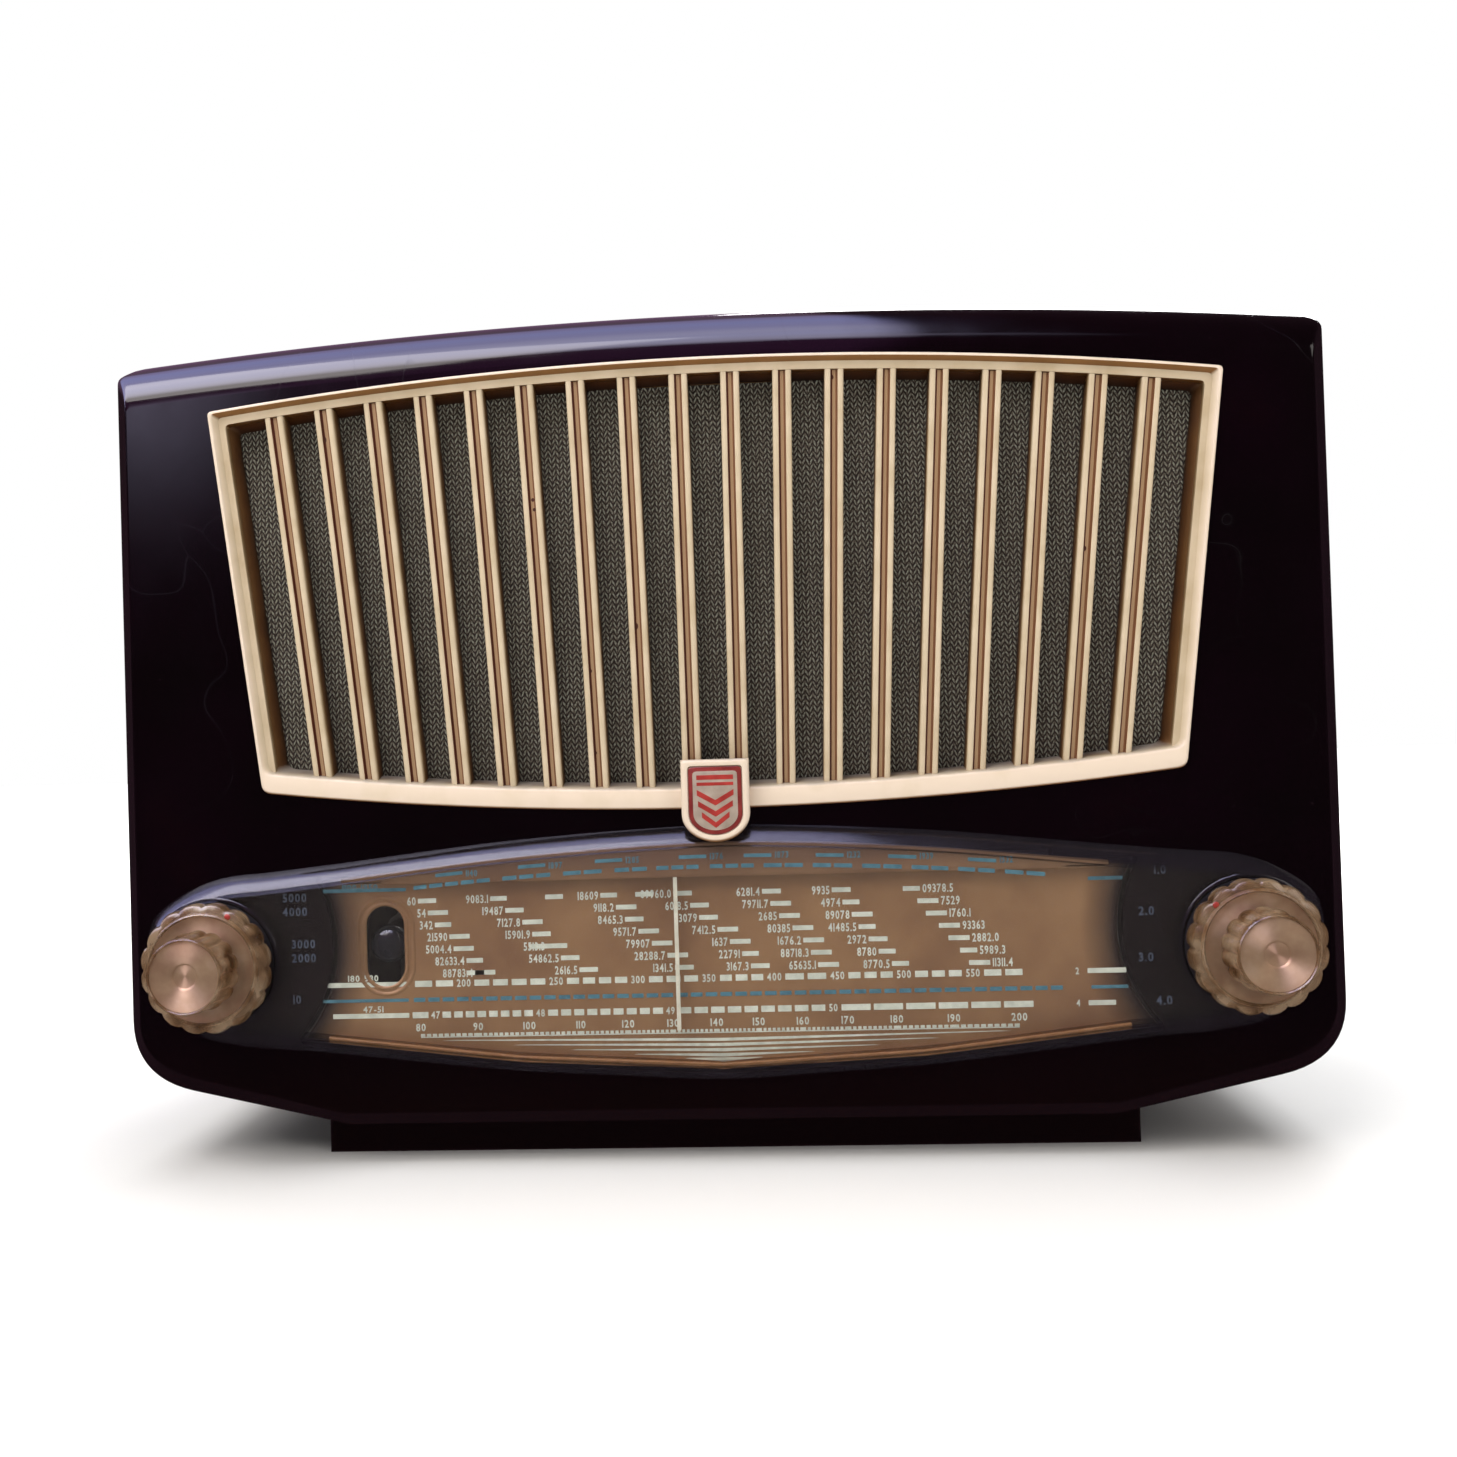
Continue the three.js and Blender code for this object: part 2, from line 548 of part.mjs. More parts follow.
const VANE_PITCH = 7;
const FIXED_VANES = [0, 1, 2, 3, 4];
const CAPACITOR_FRONT = -54;
const CAPACITOR_BACK = -10;
const capacitorFrame = join(
  box(26, 84, CAPACITOR_FRONT, CAPACITOR_BACK, DECK_Z + 1.5, DECK_Z + 3.5),
  box(26, 84, CAPACITOR_FRONT, CAPACITOR_FRONT + 1.6, DECK_Z + 1.5, 104),
  box(26, 84, CAPACITOR_BACK - 1.6, CAPACITOR_BACK, DECK_Z + 1.5, 104),
  box(26, 30, CAPACITOR_FRONT, CAPACITOR_BACK, 100, 104),
  box(80, 84, CAPACITOR_FRONT, CAPACITOR_BACK, 100, 104),
);
const fixedVanes = FIXED_VANES.map((i) => {
  const y = CAPACITOR_FRONT + 6 + i * VANE_PITCH;
  return box(28.5, 49.4, y, y + 1.2, DECK_Z + 2.5, 102);
});
const vaneStrap = box(26, 29, CAPACITOR_FRONT, CAPACITOR_BACK, DECK_Z + 2, 103);
place(
  "tuning_capacitor",
  cut(
    join(capacitorFrame, ...fixedVanes, vaneStrap),
    rod(3.35, CAPACITOR_FRONT - 2, CAPACITOR_BACK + 2, DRUM.x, DRUM.z),
  ),
  "can",
);

// At the high end of the scale the moving vanes stand fully between the fixed ones.
const TURN_TO_HIGH_END = 180 - TURN_TO_LOW_END;
const vaneShape = polygon(arc(DRUM.x, DRUM.z, 24.5, 90 + TURN_TO_HIGH_END, 270 + TURN_TO_HIGH_END, 9));
const movingVanes = FIXED_VANES.slice(0, -1).map((i) => {
  const y = CAPACITOR_FRONT + 6 + (i + 0.5) * VANE_PITCH;
  return slab(vaneShape, y, y + 1.2);
});
const capacitorShaft = rod(3, DRUM.y - 5, CAPACITOR_BACK + 3, DRUM.x, DRUM.z);
const vaneHub = rod(5, CAPACITOR_FRONT + 3, CAPACITOR_BACK - 3, DRUM.x, DRUM.z);
const halfHub = vaneHub.intersect(slab(vaneShape, CAPACITOR_FRONT, CAPACITOR_BACK));
place("capacitor_rotor", join(capacitorShaft, ...movingVanes, halfHub), "can");

// ---- Controls: two concentric pairs of knobs, each on its own shaft ----

function flutedOutline(x, z, radius, flutes, depth) {
  const steps = flutes * 4;
  const ring = Array.from({ length: steps }, (_, i) => {
    const wave = Math.abs(Math.sin((Math.PI * flutes * i) / steps));
    return onCircle(x, z, radius - depth * (1 - wave), (360 * i) / steps);
  });
  return polygon(ring);
}

function largeKnob(x, indexAngle) {
  const { radius, flutes, back, front } = LARGE_KNOB;
  const skirtBody = slab(flutedOutline(x, AXIS_Z, radius, flutes, 1.3), front + 1.6, back);
  const dish = turned([
    [OUTER_SHAFT + 0.3, back], [17, back], [17, front], [16, front], [13, front + 1.4],
    [OUTER_SHAFT + 0.3, front + 2.6], [OUTER_SHAFT + 0.3, back],
  ], x, AXIS_Z, 24);
  const [markX, markZ] = onCircle(x, AXIS_Z, 17.6, indexAngle);
  const mark = rod(0.9, front + 0.9, front + 2.2, markX, markZ, 6);
  return join(cut(skirtBody, rod(16.5, front - 1, back + 1, x, AXIS_Z, 24)), dish, mark);
}

function smallKnob(x) {
  const { radius, back, front } = SMALL_KNOB;
  const body = slab(flutedOutline(x, AXIS_Z, radius, 14, 0.8), front + 1, back);
  const cap = turned([[0, front], [11, front], [11.4, front + 3], [0, front + 3]], x, AXIS_Z, 20);
  const dish = turned([[0, front - 1], [10.6, front - 1], [10.6, front], [4, front + 1.6], [0, front + 2]], x, AXIS_Z, 20);
  const socket = rod(INNER_SHAFT + GAP, front + 4, back + 1, x, AXIS_Z, 12);
  return cut(join(body, cap), dish, socket);
}

const SIDES = [
  { side: -1, inner: "volume", outer: "tone", index: TONE_INDEX, innerEnd: -52 },
  { side: 1, inner: "tuning", outer: "band", index: BAND_INDEX, innerEnd: -64 },
];
SIDES.forEach(({ side, inner, outer, index, innerEnd }) => {
  const x = side * KNOB_X;
  place(`${inner}_knob`, smallKnob(x), "clear");
  place(`${outer}_knob`, largeKnob(x, index), "clear");
  place(`${inner}_shaft`, rod(INNER_SHAFT, SMALL_KNOB.front + 4.4, innerEnd, x, AXIS_Z), "brass");
});

function hollowShaft(x, end, rotorY) {
  const tube = turned([
    [INNER_SHAFT + GAP, LARGE_KNOB.front + 0.3], [OUTER_SHAFT, LARGE_KNOB.front + 0.3],
    [OUTER_SHAFT, end], [INNER_SHAFT + GAP, end], [INNER_SHAFT + GAP, LARGE_KNOB.front + 0.3],
  ], x, AXIS_Z, 16);
  const wiper = cut(
    box(x - 3, x + 3, rotorY - 0.8, rotorY + 0.8, AXIS_Z, AXIS_Z + 10.5),
    rod(INNER_SHAFT + GAP, rotorY - 2, rotorY + 2, x, AXIS_Z, 16),
  );
  return join(tube, wiper);
}

function bush(x) {
  return turned([
    [OUTER_SHAFT + GAP, BRACKET_Y - 7], [6.1, BRACKET_Y - 7], [6.1, BRACKET_Y + 1.5],
    [9, BRACKET_Y + 1.5], [9, BRACKET_Y + 3], [OUTER_SHAFT + GAP, BRACKET_Y + 3],
    [OUTER_SHAFT + GAP, BRACKET_Y - 7],
  ], x, AXIS_Z, 16);
}

// A switch is a ring of insulating board with clips, clear of the turning wiper in its middle.
function switchWafer(x, y) {
  const ring = turned([[12, y - 1], [16, y - 1], [16, y + 1], [12, y + 1], [12, y - 1]], x, AXIS_Z, 16);
  const spacers = [0, 90, 180, 270].map((angle) => {
    const [px, pz] = onCircle(x, AXIS_Z, 14, angle);
    return rod(1.5, BRACKET_Y + 1.5, y + 2, px, pz, 6);
  });
  return join(ring, ...spacers);
}

place("bush_left", bush(-KNOB_X), "brass");
place("bush_right", bush(KNOB_X), "brass");
place("tone_shaft", hollowShaft(-KNOB_X, -70, -73), "brass");
place("band_shaft", hollowShaft(KNOB_X, -76.5, -78.5), "brass");
place("tone_switch", switchWafer(-KNOB_X, -73), "phenolic");
place("band_switch", switchWafer(KNOB_X, -78.5), "phenolic");

const potBody = cut(
  turned([
    [INNER_SHAFT + GAP, -66], [13, -66], [13, -50], [0, -50], [0, -51.4], [11.6, -51.4], [11.6, -64.6],
    [INNER_SHAFT + GAP, -64.6], [INNER_SHAFT + GAP, -66],
  ], -KNOB_X, AXIS_Z, 16),
  box(-KNOB_X - 4, -KNOB_X + 4, -60, -56, AXIS_Z - 20, AXIS_Z - 6),
);
const potStrap = box(-KNOB_X + 12.4, -KNOB_X + 26, -66, -64.8, AXIS_Z - 5, AXIS_Z + 5);
place("volume_control", join(potBody, potStrap), "can");

// ---- Loudspeaker: cloth, baffle board, basket, cone and magnet ----

function boardOutline(inset) {
  const half = 166 - inset;
  return polygon([
    [0, 111 + inset],
    ...mirrored([[half, 111 + inset], [half, 241 - inset], [110, 246 - inset]]),
  ]);
}

place("grille_cloth", slab(boardOutline(3), CLOTH_Y, CLOTH_Y + 0.8), "cloth");
const boardSlots = [70, 100, 130].map((x) => box(x - 5, x + 5, BOARD_Y - 1, BOARD_BACK + 1, 150, 225));
place(
  "baffle_board",
  cut(slab(boardOutline(0), BOARD_Y, BOARD_BACK), rod(57, BOARD_Y - 1, BOARD_BACK + 1, SPEAKER.x, SPEAKER.z, 24), ...boardSlots),
  "board",
);

const basketShell = turned([
  [55.5, -78], [SPEAKER.radius, -78], [SPEAKER.radius, -76.6], [59, -76.6], [57.5, -70], [32, -43],
  [30, -40.4], [14.5, -40.4], [14.5, -41.8], [29, -41.8], [31, -44.6], [55.5, -71.4], [55.5, -78],
], SPEAKER.x, SPEAKER.z, 20);
const basketWindows = [45, 135, 225, 315].map((angle) => {
  const geometry = new THREE.BoxGeometry(22, 24, 26);
  geometry.translate(44, -56, 0);
  geometry.rotateY(THREE.MathUtils.degToRad(angle));
  geometry.translate(SPEAKER.x, 0, SPEAKER.z);
  return solid(geometry);
});
place("speaker_basket", cut(basketShell, ...basketWindows), "iron");

place("speaker_cone", turned([
  [0, -54], [9, -52.5], [12.2, -50.2], [53.5, -75.6], [53.5, -74.6], [13.2, -48.6], [13, -31],
  [12.2, -31], [12.2, -48.6], [9, -51.4], [0, -52.9],
], SPEAKER.x, SPEAKER.z, 20), "paper");

place("speaker_magnet", turned([
  [0, -40], [11.4, -40], [11.4, -27], [13.9, -27], [13.9, -40], [27, -40], [27, -18], [0, -18],
], SPEAKER.x, SPEAKER.z, 16), "magnet");

// ---- Chassis: folded steel pan, bolted to the plinth from below ----

const pan = cut(
  box(-CHASSIS.half, CHASSIS.half, CHASSIS.front, CHASSIS.back, CHASSIS.foot, DECK_Z + 1.2),
  box(-CHASSIS.half + 1.2, CHASSIS.half - 1.2, CHASSIS.front + 1.2, CHASSIS.back - 1.2, CHASSIS.foot - 2, DECK_Z),
);
const feet = BOLTS.map(([x, y]) => {
  const outer = x > 0 ? CHASSIS.half : -CHASSIS.half;
  return box(Math.min(x * 0.93, outer), Math.max(x * 0.93, outer), y - 9, y + 9, CHASSIS.foot, CHASSIS.foot + 1.2);
});
const VALVES = [
  ["mixer_valve", 112, -28, 58], ["if_valve", 112, 22, 58], ["audio_valve", -8, 38, 58],
  ["output_valve", -46, 36, 66], ["rectifier_valve", -84, 36, 62],
];
const chassis = cut(
  join(pan, ...feet),
  ...BOLTS.map(([x, y]) => peg(2.3, CHASSIS.foot - 2, CHASSIS.foot + 3, x, y, 8)),
  ...VALVES.map(([, x, y]) => peg(8.9, DECK_Z - 2, DECK_Z + 4, x, y, 12)),
);
place("chassis", chassis, "steel");

VALVES.forEach(([name, x, y, height]) => {
  const foot = DECK_Z + 1.5;
  const profile = [
    [0, foot - 9], [8, foot - 9], [8, foot], [10.6, foot], [10.6, foot + 5], [10, foot + 7],
    [10, foot + height - 10], [7.5, foot + height - 4], [2, foot + height - 1], [0, foot + height],
  ];
  place(name, upright(profile, x, y, 10), "glass");
});

const canNames = ["if_can_first", "if_can_second"];
[[112, -1], [72, 26]].forEach(([x, y], i) => {
  const can = cut(
    box(x - 12, x + 12, y - 12, y + 12, DECK_Z + 1.5, DECK_Z + 62),
    box(x - 11, x + 11, y - 11, y + 11, DECK_Z, DECK_Z + 61),
    rod(2.5, y - 14, y - 10, x, DECK_Z + 22, 10),
  );
  place(canNames[i], i ? can : can.translate([0, -1, 0]), "can");
});
place("smoothing_capacitor", upright([
  [0, DECK_Z + 1.5], [14, DECK_Z + 1.5], [14, DECK_Z + 52], [12.6, DECK_Z + 53.6], [0, DECK_Z + 53.6],
], 30, 36, 14), "can");

function transformer(x, y, width, depth, height) {
  const z = DECK_Z + 1.5;
  const core = box(x - width / 2, x + width / 2, y - depth / 4, y + depth / 4, z, z + height);
  const coil = box(x - width * 0.32, x + width * 0.32, y - depth / 2, y + depth / 2, z + height * 0.18, z + height * 0.82);
  const rim = box(x - width / 2 - 3, x + width / 2 + 3, y - depth / 4, y + depth / 4, z, z + 3);
  return join(core, coil, rim);
}

place("mains_transformer", transformer(-104, -14, 62, 52, 56), "iron");
place("output_transformer", transformer(-34, -14, 40, 32, 34), "iron");

BOLTS.forEach(([x, y], i) => {
  const profile = [[0, 0.6], [4.6, 0.6], [4.6, 2.6], [1.9, 2.6], [1.9, CHASSIS.foot + 5], [0, CHASSIS.foot + 5]];
  place(`chassis_bolt_${i + 1}`, upright(profile, x, y, 8), "steel");
});

// ---- Tuning eye behind its window ----

place("tuning_eye", turned([
  [0, -89.4], [4.8, -88.8], [6, -87], [6, -52], [6.6, -50], [6.6, -40], [0, -40],
], EYE_X, EYE_Z, 14), "glass");
const clampRing = cut(rod(8, -62, -56.3, EYE_X, EYE_Z, 14), rod(6.4, -64, -54, EYE_X, EYE_Z, 14));
const clampLeg = box(EYE_X - 4, EYE_X + 4, -58, -56.3, 29, EYE_Z - 7.2);
place("eye_clamp", join(clampRing, clampLeg), "steel");

// ---- Back cover and its fittings ----

const ventRows = [];
for (let z = 130; z <= 226; z += 16) {
  for (let x = -105; x <= 105; x += 70) {
    ventRows.push(box(x - 28, x + 28, COVER_Y - 2, COVER_Y + 6, z - 2.5, z + 2.5));
  }
}
const TERMINALS = { x: 60, z: 62, half: 34 };
const SELECTOR = { x: -70, z: 62 };
const INLET = { x: -120, z: 40 };
const backSheet = cut(
  slab(cabinetOutline(WALL + 0.6), COVER_Y, COVER_Y + COVER_THICK),
  ...ventRows,
  box(TERMINALS.x - TERMINALS.half, TERMINALS.x + TERMINALS.half, COVER_Y - 2, COVER_Y + 6, TERMINALS.z - 7, TERMINALS.z + 7),
  rod(12.6, COVER_Y - 2, COVER_Y + 6, SELECTOR.x, SELECTOR.z, 16),
  rod(7.1, COVER_Y - 2, COVER_Y + 6, INLET.x, INLET.z, 12),
  ...BACK_SCREWS.map(([x, z]) => rod(2.2, COVER_Y - 2, COVER_Y + 6, x, z, 8)),
);
place("back_cover", backSheet, "fibre");

const strip = box(TERMINALS.x - 33, TERMINALS.x + 33, CHASSIS.back + 0.3, CHASSIS.back + 2.3, 26, 70);
const socketHoles = [-24, -12, 4, 16, 28].map((dx) => rod(2, 60, 100, TERMINALS.x + dx, TERMINALS.z, 6));
const sockets = [-24, -12, 4, 16, 28].map((dx) => rod(3.4, CHASSIS.back + 1, COVER_Y + 1, TERMINALS.x + dx, TERMINALS.z, 8));
place("terminal_strip", cut(join(strip, ...sockets), ...socketHoles), "phenolic");
const selectorBody = join(
  rod(12, COVER_Y - 14, COVER_Y + 2.2, SELECTOR.x, SELECTOR.z, 16),
  box(SELECTOR.x - 15, SELECTOR.x + 15, COVER_Y - 3, COVER_Y - 0.4, SELECTOR.z - 15, SELECTOR.z + 15),
);
place("voltage_selector", cut(selectorBody, box(SELECTOR.x - 9, SELECTOR.x + 9, COVER_Y, COVER_Y + 6, SELECTOR.z - 1.2, SELECTOR.z + 1.2)), "rubber");
place("inlet_grommet", turned([
  [3.6, COVER_Y - 1.6], [9, COVER_Y - 1.6], [9, COVER_Y - 0.3], [6.7, COVER_Y - 0.3],
  [6.7, COVER_Y + COVER_THICK + 0.3], [9, COVER_Y + COVER_THICK + 0.3], [9, COVER_Y + COVER_THICK + 1.6],
  [3.6, COVER_Y + COVER_THICK + 1.6], [3.6, COVER_Y - 1.6],
], INLET.x, INLET.z, 12), "rubber");
BACK_SCREWS.forEach(([x, z], i) => {
  const top = COVER_Y + COVER_THICK;
  const profile = [[0, 70], [1.4, 70], [1.4, top + 0.3], [3.8, top + 0.3], [3, top + 1.7], [0, top + 1.9]];
  place(`back_screw_${i + 1}`, turned(profile, x, z, 6), "steel");
});

export default radio;
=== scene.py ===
# %% [markdown]
# # A tabletop valve radio
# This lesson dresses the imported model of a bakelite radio. Each cell makes one piece or one finish, and
# says first what it is on the real thing, how it could be made, and why this way was chosen.
# Blender keeps every size of the frame: +Z is up, the front faces -Y, and the origin is on the table.

# %% Load the fixed frame
import math
import random

import bmesh
import bpy
import numpy as np
from mathutils import Euler, Matrix, Vector


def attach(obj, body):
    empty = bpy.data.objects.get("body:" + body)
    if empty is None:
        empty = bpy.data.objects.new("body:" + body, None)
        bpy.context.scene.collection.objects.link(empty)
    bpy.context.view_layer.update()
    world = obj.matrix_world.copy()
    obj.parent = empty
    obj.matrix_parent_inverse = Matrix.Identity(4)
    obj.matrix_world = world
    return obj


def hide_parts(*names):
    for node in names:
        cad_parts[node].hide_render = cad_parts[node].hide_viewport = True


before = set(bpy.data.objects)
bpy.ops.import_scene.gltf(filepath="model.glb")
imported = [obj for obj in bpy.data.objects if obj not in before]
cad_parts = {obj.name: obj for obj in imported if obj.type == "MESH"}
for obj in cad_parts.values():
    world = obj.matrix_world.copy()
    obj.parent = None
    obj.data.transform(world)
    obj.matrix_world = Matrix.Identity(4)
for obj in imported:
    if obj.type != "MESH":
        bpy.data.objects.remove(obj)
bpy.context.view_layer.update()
MM = 0.001
scene = bpy.context.scene
print("nodes in the frame:", len(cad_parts))

# %% [markdown]
# ## The camera
# The radio is seen from a little right of its middle, at about half its height and quite near, so its
# sides lean away and the crown looks bent. A camera could be aimed with a constraint, but a plain
# position and three angles are easier to read and stay put when the object changes.

# %% Place the camera
camera_data = bpy.data.cameras.new("front_view")
camera_data.lens = 35.7
camera_data.sensor_width = 36
camera_data.shift_x = 0.0364
camera_data.clip_start = 0.01
camera = bpy.data.objects.new("front_view", camera_data)
YAW, PITCH, ROLL = math.radians(3.668), math.radians(0.793), math.radians(-1.726)
aim = Euler((math.pi / 2 + PITCH, 0, YAW)).to_matrix().to_4x4() @ Matrix.Rotation(ROLL, 4, "Z")
camera.matrix_world = Matrix.Translation(Vector((16.68, -539.82, 128.39)) * MM) @ aim
scene.collection.objects.link(camera)
scene.camera = camera
print("camera at", [round(v, 3) for v in camera.location])

# %% [markdown]
# ## Colours and nodes
# Colours are written as the hex values that a paint card or a web page uses, and one function turns them
# into the linear values that light is added up in. One more function adds any node with its settings
# and links, so that each material reads as a short list.

# %% Helpers for colours and nodes
def colour(code):
    """An sRGB hex value as linear red, green, blue and alpha."""
    parts = [int(code[i:i + 2], 16) / 255 for i in (1, 3, 5)]
    return tuple(p / 12.92 if p <= 0.04045 else ((p + 0.055) / 1.055) ** 2.4 for p in parts) + (1.0,)


def feed(node, *values, **named):
    """Fills inputs by place or name, an underscore standing for a space, from values, sockets or nodes."""
    for key, value in [*enumerate(values), *((name.replace("_", " "), value) for name, value in named.items())]:
        if isinstance(value, bpy.types.Node):
            value = next(socket for socket in value.outputs if socket.enabled)
        if isinstance(value, bpy.types.NodeSocket):
            node.id_data.links.new(value, node.inputs[key])
        else:
            node.inputs[key].default_value = value


def add(tree, kind, *values, stops=(), **named):
    """Adds a node: "Math ADD" is a kind and its operation; lower-case names are settings, others inputs."""
    kind, _, operation = kind.partition(" ")
    in_geometry = tree.bl_idname == "GeometryNodeTree" and hasattr(bpy.types, "GeometryNode" + kind)
    node = tree.nodes.new(("GeometryNode" if in_geometry else "ShaderNode") + kind)
    settings = {name: value for name, value in named.items() if name[0].islower()}
    if operation:
        settings["operation"] = operation
    for name, value in settings.items():
        setattr(node, name, value)
    for i, (position, stop_colour) in enumerate(stops):
        element = node.color_ramp.elements[0] if i == 0 else node.color_ramp.elements.new(position)
        if i == 0:
            node.color_ramp.elements.remove(node.color_ramp.elements[1])
            element.position = position
        element.color = stop_colour
    feed(node, *values, **{name: value for name, value in named.items() if name not in settings})
    return node


def start_material(name, **sockets):
    """A material with its Principled shader set, and Object coordinates ready for patterns."""
    material = bpy.data.materials.new(name)
    material.use_nodes = True
    tree = material.node_tree
    shader = tree.nodes["Principled BSDF"]
    feed(shader, **sockets)
    return material, tree, shader, add(tree, "TexCoord").outputs["Object"]


def greys(*stops):
    """Ramp stops from (position, brightness) pairs."""
    return [(position, (value, value, value, 1)) for position, value in stops]


print("ivory as linear light:", [round(v, 3) for v in colour("#e3cfa2")])

# %% [markdown]
# ## Bakelite
# The cabinet is phenolic resin with wood flour in it, pressed in a polished steel mould. That gives a
# mirror-like skin over a very dark purple brown, with faint reddish clouds where the flour gathered, a
# few specks, and hair scratches from dusting. Clouds and specks are noise and Voronoi cells on Object
# coordinates, and the scratches only change the gloss.

# %% Material: bakelite
def make_bakelite():
    material, tree, shader, place = start_material(
        "bakelite_pressed_polished", Specular_IOR_Level=0.5, IOR=1.5)
    # Clouds about 40 mm across; the noise scale is waves for each metre.
    clouds = add(tree, "TexNoise", Vector=place, Scale=25.0, Detail=5.0)
    tint = add(tree, "ValToRGB", stops=[(0.35, colour("#030102")), (0.62, colour("#060104")),
                                        (0.8, colour("#0b0204"))], Fac=clouds)
    # Specks 0.4 mm across, about one to each 9 mm.
    cells = add(tree, "TexVoronoi", Vector=place, Scale=110.0)
    specks = add(tree, "ValToRGB", stops=greys((0.02, 1), (0.045, 0)), Fac=cells)
    speckled = add(tree, "Mix", data_type="RGBA", Factor=specks, A=tint, B=colour("#1c1318"))
    # Low down the moulding is thin and browner.
    height = add(tree, "SeparateXYZ", Vector=place)
    low = add(tree, "MapRange", Value=height.outputs["Z"], From_Min=0.045, From_Max=0.008)
    browned = add(tree, "Mix", data_type="RGBA", Factor=low, A=speckled, B=colour("#0b0302"))
    feed(shader, Base_Color=browned)
    # Scratches: edges of large bent cells, drawn about 0.3 mm wide so that they show.
    bend = add(tree, "TexNoise", Vector=place, Scale=12.0)
    bent = add(tree, "Mix", data_type="VECTOR", Factor=0.25, A=place, B=bend.outputs["Color"])
    lines = add(tree, "TexVoronoi", feature="DISTANCE_TO_EDGE", Vector=bent, Scale=9.0)
    scratch = add(tree, "ValToRGB", stops=greys((0.0, 1), (0.004, 0)), Fac=lines)
    haze = add(tree, "TexNoise", Vector=place, Scale=60.0, Detail=6.0)
    gloss = add(tree, "MapRange", Value=haze, From_Min=0.3, From_Max=0.75, To_Min=0.07, To_Max=0.14)
    rough = add(tree, "Math MULTIPLY_ADD", scratch, 0.16, gloss)
    feed(shader, Roughness=rough)
    ripple = add(tree, "Bump", Strength=0.05, Distance=0.0004, Height=clouds)
    feed(shader, Normal=ripple)
    return material


BAKELITE = make_bakelite()
print("made", BAKELITE.name)

# %% [markdown]
# ## Ivory urea
# The grille is pressed from urea resin, cream when new. Sixty years of smoke and dust have turned its depths
# ochre and brown, while fingers kept the front clean. So the colour follows how deep a point lies behind the
# front, which also paints in the shade of the recesses, and the grooves carry an attribute that the bar's own
# mesh stores, for their dirt and painted shadow.

# %% Material: ivory urea
def make_ivory():
    material, tree, shader, place = start_material(
        "urea_pressed_ivory", Specular_IOR_Level=0.45, IOR=1.5, Roughness=0.34)
    split = add(tree, "SeparateXYZ", Vector=place)
    patchy = add(tree, "TexNoise", Vector=place, Scale=90.0, Detail=4.0)
    # Depth in metres behind the front of the lip, moved a little by the noise so that the edge of the stain
    # wanders. The darkening with depth is partly real stain and partly painted shade in the recess.
    depth = add(tree, "Math MULTIPLY_ADD", patchy, 0.0028, split.outputs["Y"])
    depth_stain_and_shade = add(tree, "MapRange", Value=depth, From_Min=-0.0932, From_Max=-0.0835)
    body = add(tree, "ValToRGB", stops=[(0.0, colour("#deccb8")), (0.1, colour("#d4c2a8")),
                                        (0.24, colour("#c2b093")), (0.42, colour("#a0865e")),
                                        (0.7, colour("#745431")), (1.0, colour("#3c2713"))], Fac=depth_stain_and_shade)
    # Slopes that face down are darkened brown, partly by smoke and partly by painted shade from the light
    # above, and grey dust lies on those that face up.
    facing = add(tree, "SeparateXYZ", Vector=add(tree, "NewGeometry").outputs["Normal"])
    down_facing_smoke_and_shade = add(tree, "MapRange", Value=facing.outputs["Z"], From_Min=-0.2, From_Max=-0.7)
    # Smoke and polish also stay in the depth of the grille, from 92.5 mm before the origin inwards, and the
    # same darkening paints in the shade of that depth.
    deep_smoke_and_shade = add(tree, "MapRange", Value=split.outputs["Y"], From_Min=-0.0925, From_Max=-0.0895, To_Max=0.8)
    smoke_and_shade = add(tree, "Math MAXIMUM", down_facing_smoke_and_shade, deep_smoke_and_shade)
    smoked_and_shaded = add(tree, "Mix", data_type="RGBA", blend_type="MULTIPLY", Factor=smoke_and_shade, A=body,
                 B=colour("#8f6c42"))
    lint = add(tree, "Math MULTIPLY_ADD", patchy, 1.6, facing.outputs["Z"])
    dusty = add(tree, "MapRange", Value=lint, From_Min=1.3, From_Max=1.9, To_Max=0.75)
    body = add(tree, "Mix", data_type="RGBA", Factor=dusty, A=smoked_and_shaded, B=colour("#a39a90"))
    # The grooves' attribute gives their dirt together with painted shadow, darkest on each groove's left wall.
    groove_dirt_and_shade = add(tree, "Attribute", attribute_name="groove_dirt_and_shade")
    groove_dirt_and_shade_tone = add(tree, "ValToRGB", stops=[(0.5, colour("#b0906c")), (0.62, colour("#a88661")),
                                             (0.85, colour("#7c5232")), (1.0, colour("#562410"))],
                    Fac=groove_dirt_and_shade.outputs["Fac"])
    groove_mask = add(tree, "Math GREATER_THAN", groove_dirt_and_shade.outputs["Fac"], 0.2)
    mixed = add(tree, "Mix", data_type="RGBA", Factor=groove_mask, A=body, B=groove_dirt_and_shade_tone)
    # Fly specks and dirt, 0.5 mm across, only where a second, larger noise lets them.
    spots = add(tree, "TexVoronoi", Vector=place, Scale=160.0)
    where = add(tree, "TexNoise", Vector=place, Scale=38.0)
    spot_edge = add(tree, "MapRange", Value=where, From_Min=0.5, From_Max=0.75, To_Min=0.0, To_Max=0.3)
    spotted = add(tree, "Math LESS_THAN", spots, spot_edge)
    strength = add(tree, "Math MULTIPLY", spotted, groove_mask)
    final = add(tree, "Mix", data_type="RGBA", Factor=strength, A=mixed, B=colour("#4a2110"))
    feed(shader, Base_Color=final)
    worn = add(tree, "MapRange", Value=patchy, To_Min=0.28, To_Max=0.5)
    feed(shader, Roughness=worn)
    bump = add(tree, "Bump", Strength=0.15, Distance=0.0003, Height=patchy)
    feed(shader, Normal=bump)
    return material


